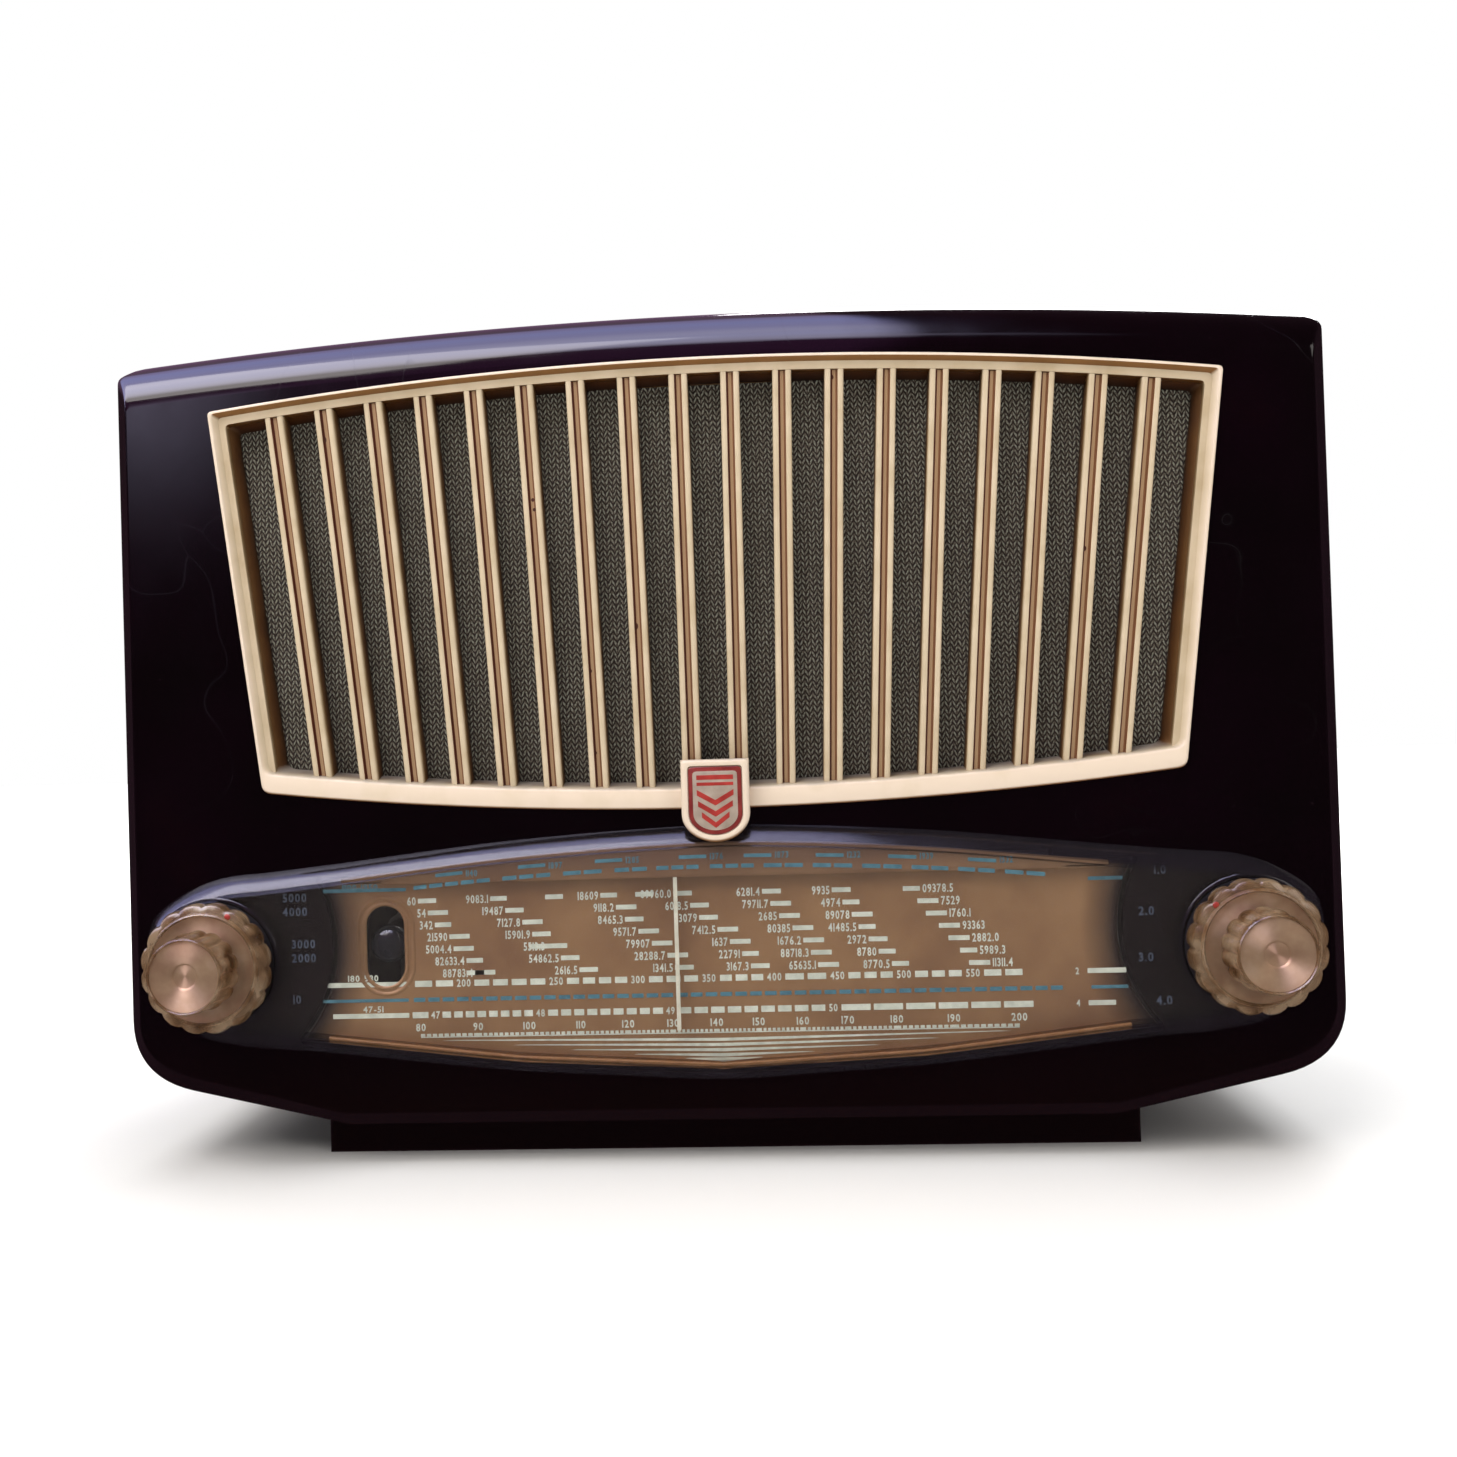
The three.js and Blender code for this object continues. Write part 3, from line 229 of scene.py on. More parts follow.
IVORY = make_ivory()
print("made", IVORY.name)

# %% [markdown]
# ## Speaker cloth
# The cloth is a herringbone weave of a dark and a pale yarn. Its columns are 1.2 mm wide and the floats
# 1.9 mm apart, leaning one way in one column and the other way in the next. Threads as real curves would
# cost millions of faces, so the floats are computed from the sheet's own UV map, which is in millimetres,
# and drive colour and bump alike.

# %% Material: herringbone cloth
def make_cloth():
    material, tree, shader, _ = start_material("cotton_herringbone_woven", Roughness=0.9, Sheen_Weight=0.15)
    uv = add(tree, "UVMap", uv_map="threads")
    wander = add(tree, "TexNoise", noise_dimensions="2D", Vector=uv, Scale=0.8)
    offset = add(tree, "VectorMath MULTIPLY_ADD", wander.outputs["Color"], (0.3, 0.9, 0), uv)
    split = add(tree, "SeparateXYZ", Vector=offset)
    across = add(tree, "Math DIVIDE", split.outputs["X"], 1.2)
    # A ping-pong wave across two columns gives the zigzag path of a float.
    zigzag = add(tree, "Math PINGPONG", across, 1.0)
    path = add(tree, "Math MULTIPLY_ADD", zigzag, 2.0, split.outputs["Y"])
    turns = add(tree, "Math MULTIPLY", path, 2 * math.pi / 1.9)
    wave = add(tree, "Math SINE", turns)
    # Along each column the floats dip under at its sides.
    column = add(tree, "Math FRACT", across)
    side = add(tree, "Math MULTIPLY", column, math.pi)
    dip = add(tree, "Math SINE", side)
    dip_size = add(tree, "MapRange", Value=dip, To_Min=0.3, To_Max=1.0)
    level = add(tree, "MapRange", Value=wave, From_Min=-0.85, From_Max=0.6)
    float_height = add(tree, "Math MULTIPLY", level, dip_size)
    fuzz = add(tree, "TexNoise", noise_dimensions="2D", Vector=uv, Scale=1.6, Detail=3.0)
    uneven = add(tree, "MapRange", Value=fuzz, From_Min=0.25, From_Max=0.75, To_Min=0.4, To_Max=1.35)
    fuzzy = add(tree, "Math MULTIPLY", float_height, uneven)
    tone = add(tree, "ValToRGB", stops=[(0.0, colour("#231b14")), (0.25, colour("#43392e")),
                                        (0.55, colour("#6f675a")), (0.95, colour("#9ea091"))], Fac=fuzzy)
    dust = add(tree, "TexNoise", noise_dimensions="2D", Vector=uv, Scale=0.03, Detail=2.0)
    tinted = add(tree, "Mix", data_type="RGBA", blend_type="MULTIPLY", Factor=0.35, A=tone, B=colour("#a39a80"))
    cloudy = add(tree, "Mix", data_type="RGBA", Factor=dust, A=tone, B=tinted)
    feed(shader, Base_Color=cloudy)
    bump = add(tree, "Bump", Strength=0.8, Distance=0.0003, Height=fuzzy)
    feed(shader, Normal=bump)
    return material


CLOTH = make_cloth()
print("made", CLOTH.name)

# %% [markdown]
# ## Clear styrene
# The dial cover is injection-moulded polystyrene, gone slightly grey with age. A refracting cover would
# hide the lamps' and the room's direct light from the dial behind it, so it is a thin veil instead: mostly
# see-through, with the plastic's own gloss and a lilac-grey haze. Its bevelled rim is thicker to look
# through and gets a denser veil.

# %% Materials: clear cover, front and rim
def make_clear(name, haze_code, alpha, gloss, level):
    material, tree, shader, place = start_material(
        name, Base_Color=colour(haze_code), Specular_IOR_Level=level, IOR=1.59, Alpha=alpha)
    smears = add(tree, "TexNoise", Vector=place, Scale=45.0, Detail=5.0)
    rough = add(tree, "MapRange", Value=smears, From_Min=0.3, From_Max=0.7, To_Min=gloss, To_Max=gloss * 2.2)
    feed(shader, Roughness=rough)
    dust = add(tree, "MapRange", Value=smears, To_Min=alpha * 0.94, To_Max=alpha * 1.06)
    feed(shader, Alpha=dust)
    return material


CLEAR_FRONT = make_clear("styrene_clear_moulded", "#605b5a", 0.08, 0.06, 0.5)
CLEAR_RIM = make_clear("styrene_clear_rim", "#232026", 0.55, 0.1, 0.6)
print("made", CLEAR_FRONT.name, "and", CLEAR_RIM.name)

# %% [markdown]
# ## Dial paint
# The dial is pressed tinplate sprayed copper brown. The spray is uneven, and the plate is darker along the top.
# Painted shade darkens it in the hollow beside each control. Broad noise gives the clouds and fine noise the
# metal flake, and the hollows are found from their distance to the two control axes.

# %% Material: dial paint
def make_dial_paint():
    material, tree, shader, place = start_material(
        "tinplate_sprayed_copper", Metallic=0.25, Roughness=0.45, Specular_IOR_Level=0.4)
    split = add(tree, "SeparateXYZ", Vector=place)
    clouds = add(tree, "TexNoise", Vector=place, Scale=28.0, Detail=5.0, Roughness=0.6)
    tone = add(tree, "ValToRGB", stops=[(0.3, colour("#8a6649")), (0.5, colour("#9b7653")),
                                        (0.7, colour("#ab855e"))], Fac=clouds)
    top = add(tree, "MapRange", Value=split.outputs["Z"], From_Min=0.084, From_Max=0.094, To_Max=0.75)
    topped = add(tree, "Mix", data_type="RGBA", Factor=top, A=tone, B=colour("#60493c"))
    # Distance from the nearer control axis, in X and Z only.
    sideways = add(tree, "Math ABSOLUTE", split.outputs["X"])
    flat = add(tree, "CombineXYZ", X=sideways, Z=split.outputs["Z"])
    away = add(tree, "VectorMath DISTANCE", flat, (0.166, 0, 0.07))
    # Painted shade: the plate's end darkens in the hollow round each control.
    hollow = add(tree, "MapRange", Value=away, From_Min=0.0462, From_Max=0.0565, To_Min=0.93, To_Max=0.0)
    end_shaded = add(tree, "Mix", data_type="RGBA", Factor=hollow, A=topped, B=colour("#1c1518"))
    feed(shader, Base_Color=end_shaded)
    flake = add(tree, "TexNoise", Vector=place, Scale=1400.0)
    bump = add(tree, "Bump", Strength=0.25, Distance=0.0001, Height=flake)
    feed(shader, Normal=bump)
    return material


DIAL_PAINT = make_dial_paint()
print("made", DIAL_PAINT.name)

# %% [markdown]
# ## Plain finishes
# Many small parts share a few finishes: screen-printing inks, paints, plated and bare metals, board,
# rubber and glass. They differ in colour, gloss and how coarse their mottling is, so one function makes
# them from a short row each. The noise scale is one over the size of a patch in metres.

# %% Materials: inks, metals and boards
def make_plain(name, light, dark, roughness, metallic=0.0, patch_mm=6.0, bump=0.1, **extra):
    material, tree, shader, place = start_material(name, Metallic=metallic, **extra)
    mottle = add(tree, "TexNoise", Vector=place, Scale=1000 / patch_mm, Detail=5.0)
    tone = add(tree, "ValToRGB", stops=[(0.3, colour(dark)), (0.7, colour(light))], Fac=mottle)
    feed(shader, Base_Color=tone)
    rough = add(tree, "MapRange", Value=mottle, From_Min=0.25, From_Max=0.75, To_Min=roughness * 0.8,
                To_Max=min(1.0, roughness * 1.25))
    feed(shader, Roughness=rough)
    relief = add(tree, "Bump", Strength=bump, Distance=0.0002, Height=mottle)
    feed(shader, Normal=relief)
    return material


# Screen-printed inks are flat and a little worn.
WHITE_INK = make_plain("ink_screened_white", "#dfe4d6", "#c0c6b8", 0.55, patch_mm=3)
TEAL_INK = make_plain("ink_screened_teal", "#4f8494", "#3c6a78", 0.55, patch_mm=3)
DIM_INK = make_plain("ink_screened_slate", "#4a586c", "#364256", 0.6, patch_mm=3)
RED_INK = make_plain("ink_fired_red", "#b02f26", "#8e231d", 0.35, patch_mm=4)
DARK_RED = make_plain("ink_fired_oxblood", "#8c2a24", "#6a1a1a", 0.35, patch_mm=4)
# The badge's field is tinplate under clear lacquer, silver with grey breath.
SILVER = make_plain("tinplate_lacquered", "#c2b3a2", "#a08f80", 0.4, 0.3, patch_mm=5)
POINTER_PAINT = make_plain("steel_enamelled_cream", "#e6e3d2", "#cfccb9", 0.4, patch_mm=4)
STEEL = make_plain("steel_zinc_plated", "#b2b1a8", "#8b8a82", 0.42, 0.9, patch_mm=8)
ALUMINIUM = make_plain("aluminium_rolled", "#c6c7c3", "#a4a5a2", 0.35, 0.95, patch_mm=10)
BRASS = make_plain("brass_turned", "#c2a560", "#94783c", 0.32, 0.95, patch_mm=5)
IRON = make_plain("steel_laminations_varnished", "#5a524a", "#37312c", 0.5, 0.5, patch_mm=5)
MAGNET = make_plain("iron_ground_magnet", "#4a4c50", "#303236", 0.45, 0.8, patch_mm=6)
PAPER = make_plain("paper_pressed_cone", "#383430", "#231f1c", 0.95, patch_mm=2, bump=0.5)
BOARD = make_plain("plywood_baffle", "#86603c", "#5e3f24", 0.85, patch_mm=9, bump=0.4)
RUBBER = make_plain("rubber_moulded_black", "#24221f", "#151412", 0.8, patch_mm=3)
PHENOLIC = make_plain("phenolic_paper_sheet", "#8a5627", "#6a3d18", 0.5, patch_mm=4)
BLACK_PHENOLIC = make_plain("phenolic_moulded_black", "#1f1a18", "#0f0c0b", 0.3, patch_mm=5)
THREAD = make_plain("cord_braided_linen", "#c6b68c", "#9a8a60", 0.9, patch_mm=0.8, bump=0.6)
# Painted shade: a black sheet put behind the knobs and round the tuning eye's slot, where only shadow falls.
BLACK_SHADOW = make_plain("black_painted_shade", "#141012", "#0a0809", 0.95, patch_mm=1, bump=0.5)
SILVERED_GLASS = make_plain("glass_getter_silvered", "#8d9694", "#3e4644", 0.08, 0.3, patch_mm=18, bump=0.02,
                            Transmission_Weight=0.45)
print("plain finishes:", len(bpy.data.materials))

# %% [markdown]
# ## Hardboard back
# The back is pressed fibreboard, brown with darker fibres lying every way, 5 to 15 mm long and hardly
# 0.3 mm thick. Stretched noise in two directions makes them, drawn coarser than they are so that they
# show from a metre away.

# %% Material: fibreboard
def make_fibreboard():
    material, tree, shader, place = start_material("fibreboard_pressed_brown", Specular_IOR_Level=0.3)
    streaks = []
    for angle in (0.5, 2.2):
        turned = add(tree, "Mapping", Vector=place, Rotation=(0, angle, 0), Scale=(90, 90, 900))
        noise = add(tree, "TexNoise", Vector=turned, Scale=1.0, Detail=3.0)
        streaks.append(noise)
    both = add(tree, "Math MULTIPLY", streaks[0], streaks[1])
    tone = add(tree, "ValToRGB", stops=[(0.12, colour("#3a2616")), (0.26, colour("#5e4026")),
                                        (0.4, colour("#7b5736"))], Fac=both)
    feed(shader, Base_Color=tone)
    shader.inputs["Roughness"].default_value = 0.78
    bump = add(tree, "Bump", Strength=0.5, Distance=0.0004, Height=both)
    feed(shader, Normal=bump)
    return material


FIBREBOARD = make_fibreboard()
print("made", FIBREBOARD.name)

# %% [markdown]
# ## Knob finishes
# Each knob is a crown of clear acrylic, yellowed and full of dirt in its notches, pressed over a disc of
# copper-gold anodised aluminium that was spun on a lathe. The spinning leaves circles a tenth of a
# millimetre apart, far too fine to draw, so an anisotropic gloss around the disc's middle stretches each
# highlight into the two-winged flare that such discs show.

# %% Materials: knob acrylic and spun disc
def make_acrylic():
    material, tree, shader, place = start_material(
        "acrylic_yellowed_moulded", IOR=1.49, Transmission_Weight=0.6, Specular_IOR_Level=0.7)
    dirt = add(tree, "TexNoise", Vector=place, Scale=130.0, Detail=4.0, Roughness=0.5)
    tone = add(tree, "ValToRGB", stops=[(0.3, colour("#5a3c22")), (0.45, colour("#967352")),
                                        (0.62, colour("#c2a688"))], Fac=dirt)
    feed(shader, Base_Color=tone)
    rough = add(tree, "MapRange", Value=dirt, From_Min=0.3, From_Max=0.7, To_Min=0.28, To_Max=0.08)
    feed(shader, Roughness=rough)
    bump = add(tree, "Bump", Strength=0.15, Distance=0.0003, Height=dirt)
    feed(shader, Normal=bump)
    return material


def make_spun():
    material, tree, shader, place = start_material("aluminium_spun_anodised_copper", Metallic=0.7,
                                                   Anisotropic=0.85, Anisotropic_Rotation=0.25, Roughness=0.5)
    clouds = add(tree, "TexNoise", Vector=place, Scale=120.0, Detail=4.0)
    tone = add(tree, "ValToRGB", stops=[(0.3, colour("#b59276")), (0.55, colour("#c9a98a")),
                                        (0.75, colour("#d8bca0"))], Fac=clouds)
    feed(shader, Base_Color=tone)
    around = add(tree, "Tangent", direction_type="RADIAL", axis="Y")
    feed(shader, Tangent=around)
    return material


ACRYLIC = make_acrylic()
SPUN = make_spun()
DIMPLE = make_plain("aluminium_spun_dimple", "#a06f4e", "#7d5238", 0.35, 0.8, patch_mm=2)
INDEX_RED = make_plain("enamel_index_red", "#b03428", "#7e1f18", 0.4, patch_mm=2)
print("made", ACRYLIC.name, "and", SPUN.name)

# %% [markdown]
# ## Shapes from outlines
# Nearly every part of this radio is a front view with a depth. So the tools here work on outlines, lists
# of (x, z) points in millimetres as seen from the front, and put a ring of them at each depth y. A skin
# over the rings is a moulding with any edge profile. Blender's own Bevel could round the edges, but rings
# give the exact profile, and the mesh stays light.

# %% Helpers for shapes
def skin(rings, closed=False):
    """Points and faces of a surface over rings of equal length; an open stack gets a cap at each end."""
    count, size = len(rings), len(rings[0])
    points = [tuple(p) for ring in rings for p in ring]
    faces = []
    for i in range(count if closed else count - 1):
        a, b = i * size, ((i + 1) % count) * size
        faces += [(a + j, a + (j + 1) % size, b + (j + 1) % size, b + j) for j in range(size)]
    if not closed:
        faces += [tuple(reversed(range(size))), tuple(range((count - 1) * size, count * size))]
    return points, faces


def at_depth(outline, y):
    return [(x, y, z) for x, z in outline]


def loft(rows, closed=False):
    """A skin over rows of an outline and its depth."""
    return skin([at_depth(outline, y) for outline, y in rows], closed)


def mirrored(half):
    """Half an outline, from middle line to middle line, closed by its mirror image."""
    return half + [(-x, z) for x, z in reversed(half[1:-1])]


def clean(mesh, distance=0.0):
    """Merges doubles and turns all faces outwards."""
    work = bmesh.new()
    work.from_mesh(mesh)
    if distance:
        bmesh.ops.remove_doubles(work, verts=work.verts, dist=distance)
    bmesh.ops.recalc_face_normals(work, faces=work.faces)
    work.to_mesh(mesh)
    work.free()


def coat(obj, *materials):
    """Gives an object these materials and no others."""
    obj.data.materials.clear()
    for material in materials:
        obj.data.materials.append(material)


def together(*parts):
    """Several (points, faces) pairs as one."""
    points, faces = [], []
    for part_points, part_faces in parts:
        start = len(points)
        points += part_points
        faces += [tuple(start + i for i in face) for face in part_faces]
    return points, faces


def make_object(name, shape, material=None, sharp=35, tidy=True):
    """A mesh object from millimetre points, its doubles merged, its faces outwards, smooth where shallow."""
    points, faces = shape
    mesh = bpy.data.meshes.new(name)
    mesh.from_pydata([Vector(p) * MM for p in points], [], faces)
    if tidy:
        clean(mesh, 2e-6)
    obj = bpy.data.objects.new(name, mesh)
    scene.collection.objects.link(obj)
    if material:
        mesh.materials.append(material)
    soften(mesh, sharp)
    return obj


def soften(mesh, sharp=35):
    """Smooth shading with creases where faces meet at more than so many degrees."""
    mesh.shade_smooth()
    mesh.set_sharp_from_angle(angle=math.radians(sharp))


def plain_copy(obj):
    """Replaces an object's mesh by what its modifiers make, and drops the modifiers."""
    bpy.context.view_layer.update()
    made = bpy.data.meshes.new_from_object(obj.evaluated_get(bpy.context.evaluated_depsgraph_get()))
    obj.modifiers.clear()
    obj.data = made
    return obj


def combine(obj, tool, operation="DIFFERENCE"):
    """Cuts a tool out of an object, or adds it, and throws the tool away."""
    step = obj.modifiers.new("combine", "BOOLEAN")
    step.object, step.operation, step.solver = tool, operation, "EXACT"
    plain_copy(obj)
    bpy.data.objects.remove(tool)
    return obj


def settle(obj, body, slot, *nodes):
    """Hangs a finished piece on its body and hides the solids that it stands for; the slot, meant to name its
    finish, is not used.
    """
    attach(obj, body)
    if nodes:
        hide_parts(*nodes)
    print(f"{obj.name}: {len(obj.data.polygons)} faces on {body}")
    return obj


def circle(x, z, radius, steps=48):
    return [(x + radius * math.cos(2 * math.pi * i / steps), z + radius * math.sin(2 * math.pi * i / steps))
            for i in range(steps)]


def turned(profile, x, z, steps=64, closed=False):
    """A profile of (radius, y) turned about an axis that runs front to back."""
    return loft([(circle(x, z, radius, steps), y) for radius, y in profile], closed)


def soft_corner(before, corner, after, steps=5):
    """A quadratic curve that rounds a corner."""
    rows = []
    for i in range(steps):
        t = i / (steps - 1)
        rows.append(tuple((1 - t) ** 2 * b + 2 * t * (1 - t) * c + t * t * a
                          for b, c, a in zip(before, corner, after)))
    return rows


def inset(outline, distance):
    """Moves each point of a counterclockwise outline inwards, square to its two edges."""
    points = np.array(outline, float)
    before = points - np.roll(points, 1, axis=0)
    after = np.roll(points, -1, axis=0) - points
    normals = []
    for edges in (before, after):
        unit = edges / np.maximum(np.linalg.norm(edges, axis=1, keepdims=True), 1e-9)
        normals.append(np.stack([-unit[:, 1], unit[:, 0]], axis=1))
    middle = normals[0] + normals[1]
    middle /= np.linalg.norm(middle, axis=1, keepdims=True)
    stretch = np.clip((middle * normals[0]).sum(axis=1, keepdims=True), 0.5, 1)
    return [tuple(p) for p in points + middle * distance / stretch]


def box_shape(x0, x1, y0, y1, z0, z1, edge=0.3):
    """A block whose front edge is eased all round."""
    outline = [(x0, z0), (x1, z0), (x1, z1), (x0, z1)]
    return loft([(outline, y1), (outline, y0 + edge), (inset(outline, edge), y0)])


print("shape tools ready")

# %% [markdown]
# ## The cabinet
# The cabinet is one pressing: an upright front with a narrow bevel down each side, and along the crown a
# deep roll, 17 mm high and 20 mm back, that catches the window. Sculpting or a subdivision cage would
# make the roll soft but not exact. A loft through outlines, one at each depth, keeps the straight sides
# straight and puts as many rings as the roll's mirror gloss needs.

# %% Cabinet outline at any depth
FRONT, BACK = -92.0, 90.0
HALF, CROWN, SHOULDER = 190.0, 268.0, 259.4
ROLL_HEIGHT, ROLL_DEPTH = 17.0, 20.0
BEVEL_WIDTH, BEVEL_DEPTH = 5.0, 6.0
CABINET_WALL = 4.5
# The belly is flat in the middle and slopes up to the rounded lower corners.
BELLY, FLAT_HALF, SLOPE_HALF, SLOPE_RISE, CORNER_TOP = 12, 120, 170, 11.2, 46


def crown_height(x):
    return CROWN - (CROWN - SHOULDER) * (x / (HALF - 8)) ** 2


def cabinet_outline(edge, drop, corner, wall=0.0):
    """The right half from the middle of the belly to the crown, then its mirror image."""
    half = HALF - edge - wall
    low = edge + wall
    right = [(x, BELLY + low) for x in np.linspace(0, FLAT_HALF, 8)]
    slope_end = (SLOPE_HALF - low, BELLY + SLOPE_RISE + low)
    right += [(FLAT_HALF + (slope_end[0] - FLAT_HALF) * t, BELLY + low + SLOPE_RISE * t) for t in (0.33, 0.66)]
    right += soft_corner(slope_end, (half, 27.5 + low), (half, CORNER_TOP), 12)
    peak = crown_height(half) - drop - wall
    right += [(half, CORNER_TOP + (peak - corner - CORNER_TOP) * t) for t in np.linspace(0.1, 0.98, 10)]
    inner = half - corner
    right += soft_corner((half, peak - corner), (half, peak), (inner, crown_height(inner) - drop - wall), 8)
    right += [(x, crown_height(x) - drop - wall) for x in np.linspace(inner - 2, 0, 56)]
    return mirrored(right)


def cabinet_ring(depth):
    """Bevel, roll and corner radius at a distance behind the front."""
    bevel = BEVEL_WIDTH * max(0.0, 1 - depth / BEVEL_DEPTH)
    if depth < 0.3:
        bevel += 0.4 * (0.3 - depth) / 0.3
    back_ease = 0.7 * max(0.0, (depth - 181.2) / 0.8)
    share = min(1.0, depth / ROLL_DEPTH)
    drop = ROLL_HEIGHT * (1 - math.sqrt(1 - (1 - share) ** 2))
    corner = 8 - 6.6 * min(1.0, drop / 6)
    return at_depth(cabinet_outline(bevel + back_ease, drop, corner), FRONT + depth)


ROLL_STEPS = [ROLL_DEPTH * (1 - math.cos(math.pi / 2 * i / 26)) for i in range(27)]
DEPTHS = sorted([*ROLL_STEPS, 0.15, 0.3, 5.8, 6.1, 6.5, 40, 70, 110, 150, 181.2, 181.7, 182])
print("cabinet rings:", len(DEPTHS), "of", len(cabinet_outline(0, 0, 8)), "points")

# %% [markdown]
# The pressing is hollow and open at the back, with the grille's and the dial's openings through its
# front. Booleans cut these, as the mould's cores do, and flat faces stay flat-shaded, so the mirror
# of the front doesn't bend where the cuts divide it.

# %% Grille and dial outlines
# The fan's half widths and heights at its foot and head, and the two shallow arcs that close it.
FOOT_HALF, FOOT_Z, HEAD_HALF, HEAD_Z = 142.7, 118.1, 157.6, 239.5
FOOT_MIDDLE, FOOT_RISE, HEAD_MIDDLE, HEAD_FALL, HEAD_ARC_HALF = 109.6, 8.6, 249.6, 10.1, 156.3
# The plate ends in a hollow round each control; its foot is a V with a knee.
HOLLOW_X, HOLLOW_Z, HOLLOW_RADIUS = 166, 70, 45
PLATE_FOOT, KNEE_X, KNEE_Z, PLATE_TOP = 28.8, 63, 32, 90.3


def grille_outline(side, top, bottom, corner=1.5):
    """The fan-shaped opening, drawn in by so much at its sides, top and bottom."""
    def edge_x(z):
        return FOOT_HALF - side + (HEAD_HALF - FOOT_HALF) * (z - FOOT_Z) / (HEAD_Z - FOOT_Z)

    def low(x):
        return FOOT_MIDDLE + bottom + FOOT_RISE * (x / FOOT_HALF) ** 2

    def high(x):
        return HEAD_MIDDLE - top - HEAD_FALL * (x / HEAD_ARC_HALF) ** 2

    foot_z, head_z = low(FOOT_HALF - side), high(HEAD_HALF - side)
    foot, head = (edge_x(foot_z), foot_z), (edge_x(head_z), head_z)
    round_foot = corner * 1.8
    right = [(x, low(x)) for x in np.linspace(0, foot[0] - round_foot, 30)]
    after = (edge_x(foot[1] + round_foot), foot[1] + round_foot)
    right += soft_corner(right[-1], foot, after)[1:]
    right += [(edge_x(z), z) for z in np.linspace(foot[1] + 12, head[1] - 8, 6)]
    before = (edge_x(head[1] - corner), head[1] - corner)
    right += soft_corner(before, head, (head[0] - corner, high(head[0] - corner)))
    right += [(x, high(x)) for x in np.linspace(head[0] - corner - 3, 0, 34)]
    return mirrored(right)


def dial_outline(drawn_in):
    """The printed plate: a shallow V below, and an end that curves round each pair of knobs."""
    radius = HOLLOW_RADIUS + drawn_in
    low = math.asin((KNEE_Z + 8 + drawn_in - HOLLOW_Z) / radius)
    high = math.asin((PLATE_TOP - drawn_in - HOLLOW_Z) / radius)
    right = [(x, PLATE_FOOT + drawn_in + 3.2 * x / KNEE_X) for x in np.linspace(0, KNEE_X, 10)]
    foot_x = HOLLOW_X - radius * math.cos(low)
    right += [(KNEE_X + (foot_x - KNEE_X) * t, KNEE_Z + drawn_in + 8 * t) for t in np.linspace(0.2, 0.95, 6)]
    right += [(HOLLOW_X - radius * math.cos(a), HOLLOW_Z + radius * math.sin(a)) for a in np.linspace(low, high,
        20)]
    right += [(x, PLATE_TOP - drawn_in) for x in np.linspace(right[-1][0] - 4, 0, 12)]
    return mirrored(right)


print("grille opening points:", len(grille_outline(0, 0, 0)), "dial points:", len(dial_outline(0)))

# %% Build the cabinet
def cabinet_hollow():
    rings = []
    for depth in (6.0, 7.0, 8.5, 11.0, 14.0, 18.0, 21.0, 24.5, 120.0, 200.0):
        share = min(1.0, max(0.0, depth - CABINET_WALL) / ROLL_DEPTH)
        drop = ROLL_HEIGHT * (1 - math.sqrt(1 - (1 - share) ** 2))
        rings.append(at_depth(cabinet_outline(0, drop, 4.0, CABINET_WALL), FRONT + depth))
    return make_object("hollow", skin(rings))


def prism(outline, y0, y1):
    return make_object("prism", loft([(outline, y0), (outline, y1)]))


KNOB_X, AXIS_Z = 158.5, 65.0
cabinet = make_object("cabinet_shell", skin([cabinet_ring(d) for d in DEPTHS]), BAKELITE)
foot_outline = [(-130, 0), (130, 0), (130, 16), (-130, 16)]
plinth = make_object("plinth", loft([(inset(foot_outline, 0.8), -75), (foot_outline, -74.2),
                                     (foot_outline, 79.2), (inset(foot_outline, 0.8), 80)]))
combine(cabinet, plinth, "UNION")
combine(cabinet, cabinet_hollow())
combine(cabinet, make_object("well", loft([([(-125.5, 4), (125.5, 4), (125.5, 21), (-125.5, 21)],
                                            y) for y in (-70.5, 75.5)])))
combine(cabinet, prism(grille_outline(4.2, 4.2, 4.2), -98, -72))
combine(cabinet, prism(dial_outline(-1.2), -98, -72))
combine(cabinet, prism([(-102, 88), (102, 88), (102, 94.2), (-102, 94.2)], -98, -72))
for knob_side in (-1, 1):
    combine(cabinet, prism(circle(knob_side * KNOB_X, AXIS_Z, 9.5), -98, -72))
print("cabinet faces:", len(cabinet.data.polygons))

# %% [markdown]
# Inside, four posts take the back's screws and four bosses stand under the chassis. They only show when
# the back is off, so plain turned shapes with their holes are enough.

# %% Posts and bosses
SCREWS = [(-179.5, 52), (179.5, 52), (-179.5, 238), (179.5, 238)]
BOLTS = [(-110, -34), (110, -34), (-110, 46), (110, 46)]
posts = []
for x, z in SCREWS:
    posts.append(turned([(1.8, 85.0), (5.6, 85.0), (5.9, 84.6), (5.9, 62), (1.8, 62)], x, z, 20, closed=True))
for x, y in BOLTS:
    rings = [[(x + r * math.cos(a), y + r * math.sin(a), h) for a in np.linspace(0, 2 * math.pi, 20, False)]
             for r, h in ((2.3, 3.2), (6, 3.2), (6, 19.7), (2.3, 19.7))]
    posts.append(skin(rings, closed=True))
inner_posts = make_object("cabinet_posts", together(*posts), BAKELITE)


def flatten_front(mesh):
    """Faces that look straight ahead, back, up or sideways are shaded flat."""
    for face in mesh.polygons:
        if max(abs(v) for v in face.normal) > 0.99995 and face.area > 2e-6:
            face.use_smooth = False


coat(cabinet, BAKELITE)
soften(cabinet.data, 28)
flatten_front(cabinet.data)
settle(cabinet, "cabinet", "bakelite", "cabinet")
settle(inner_posts, "cabinet", "bakelite")
print("posts:", len(posts))

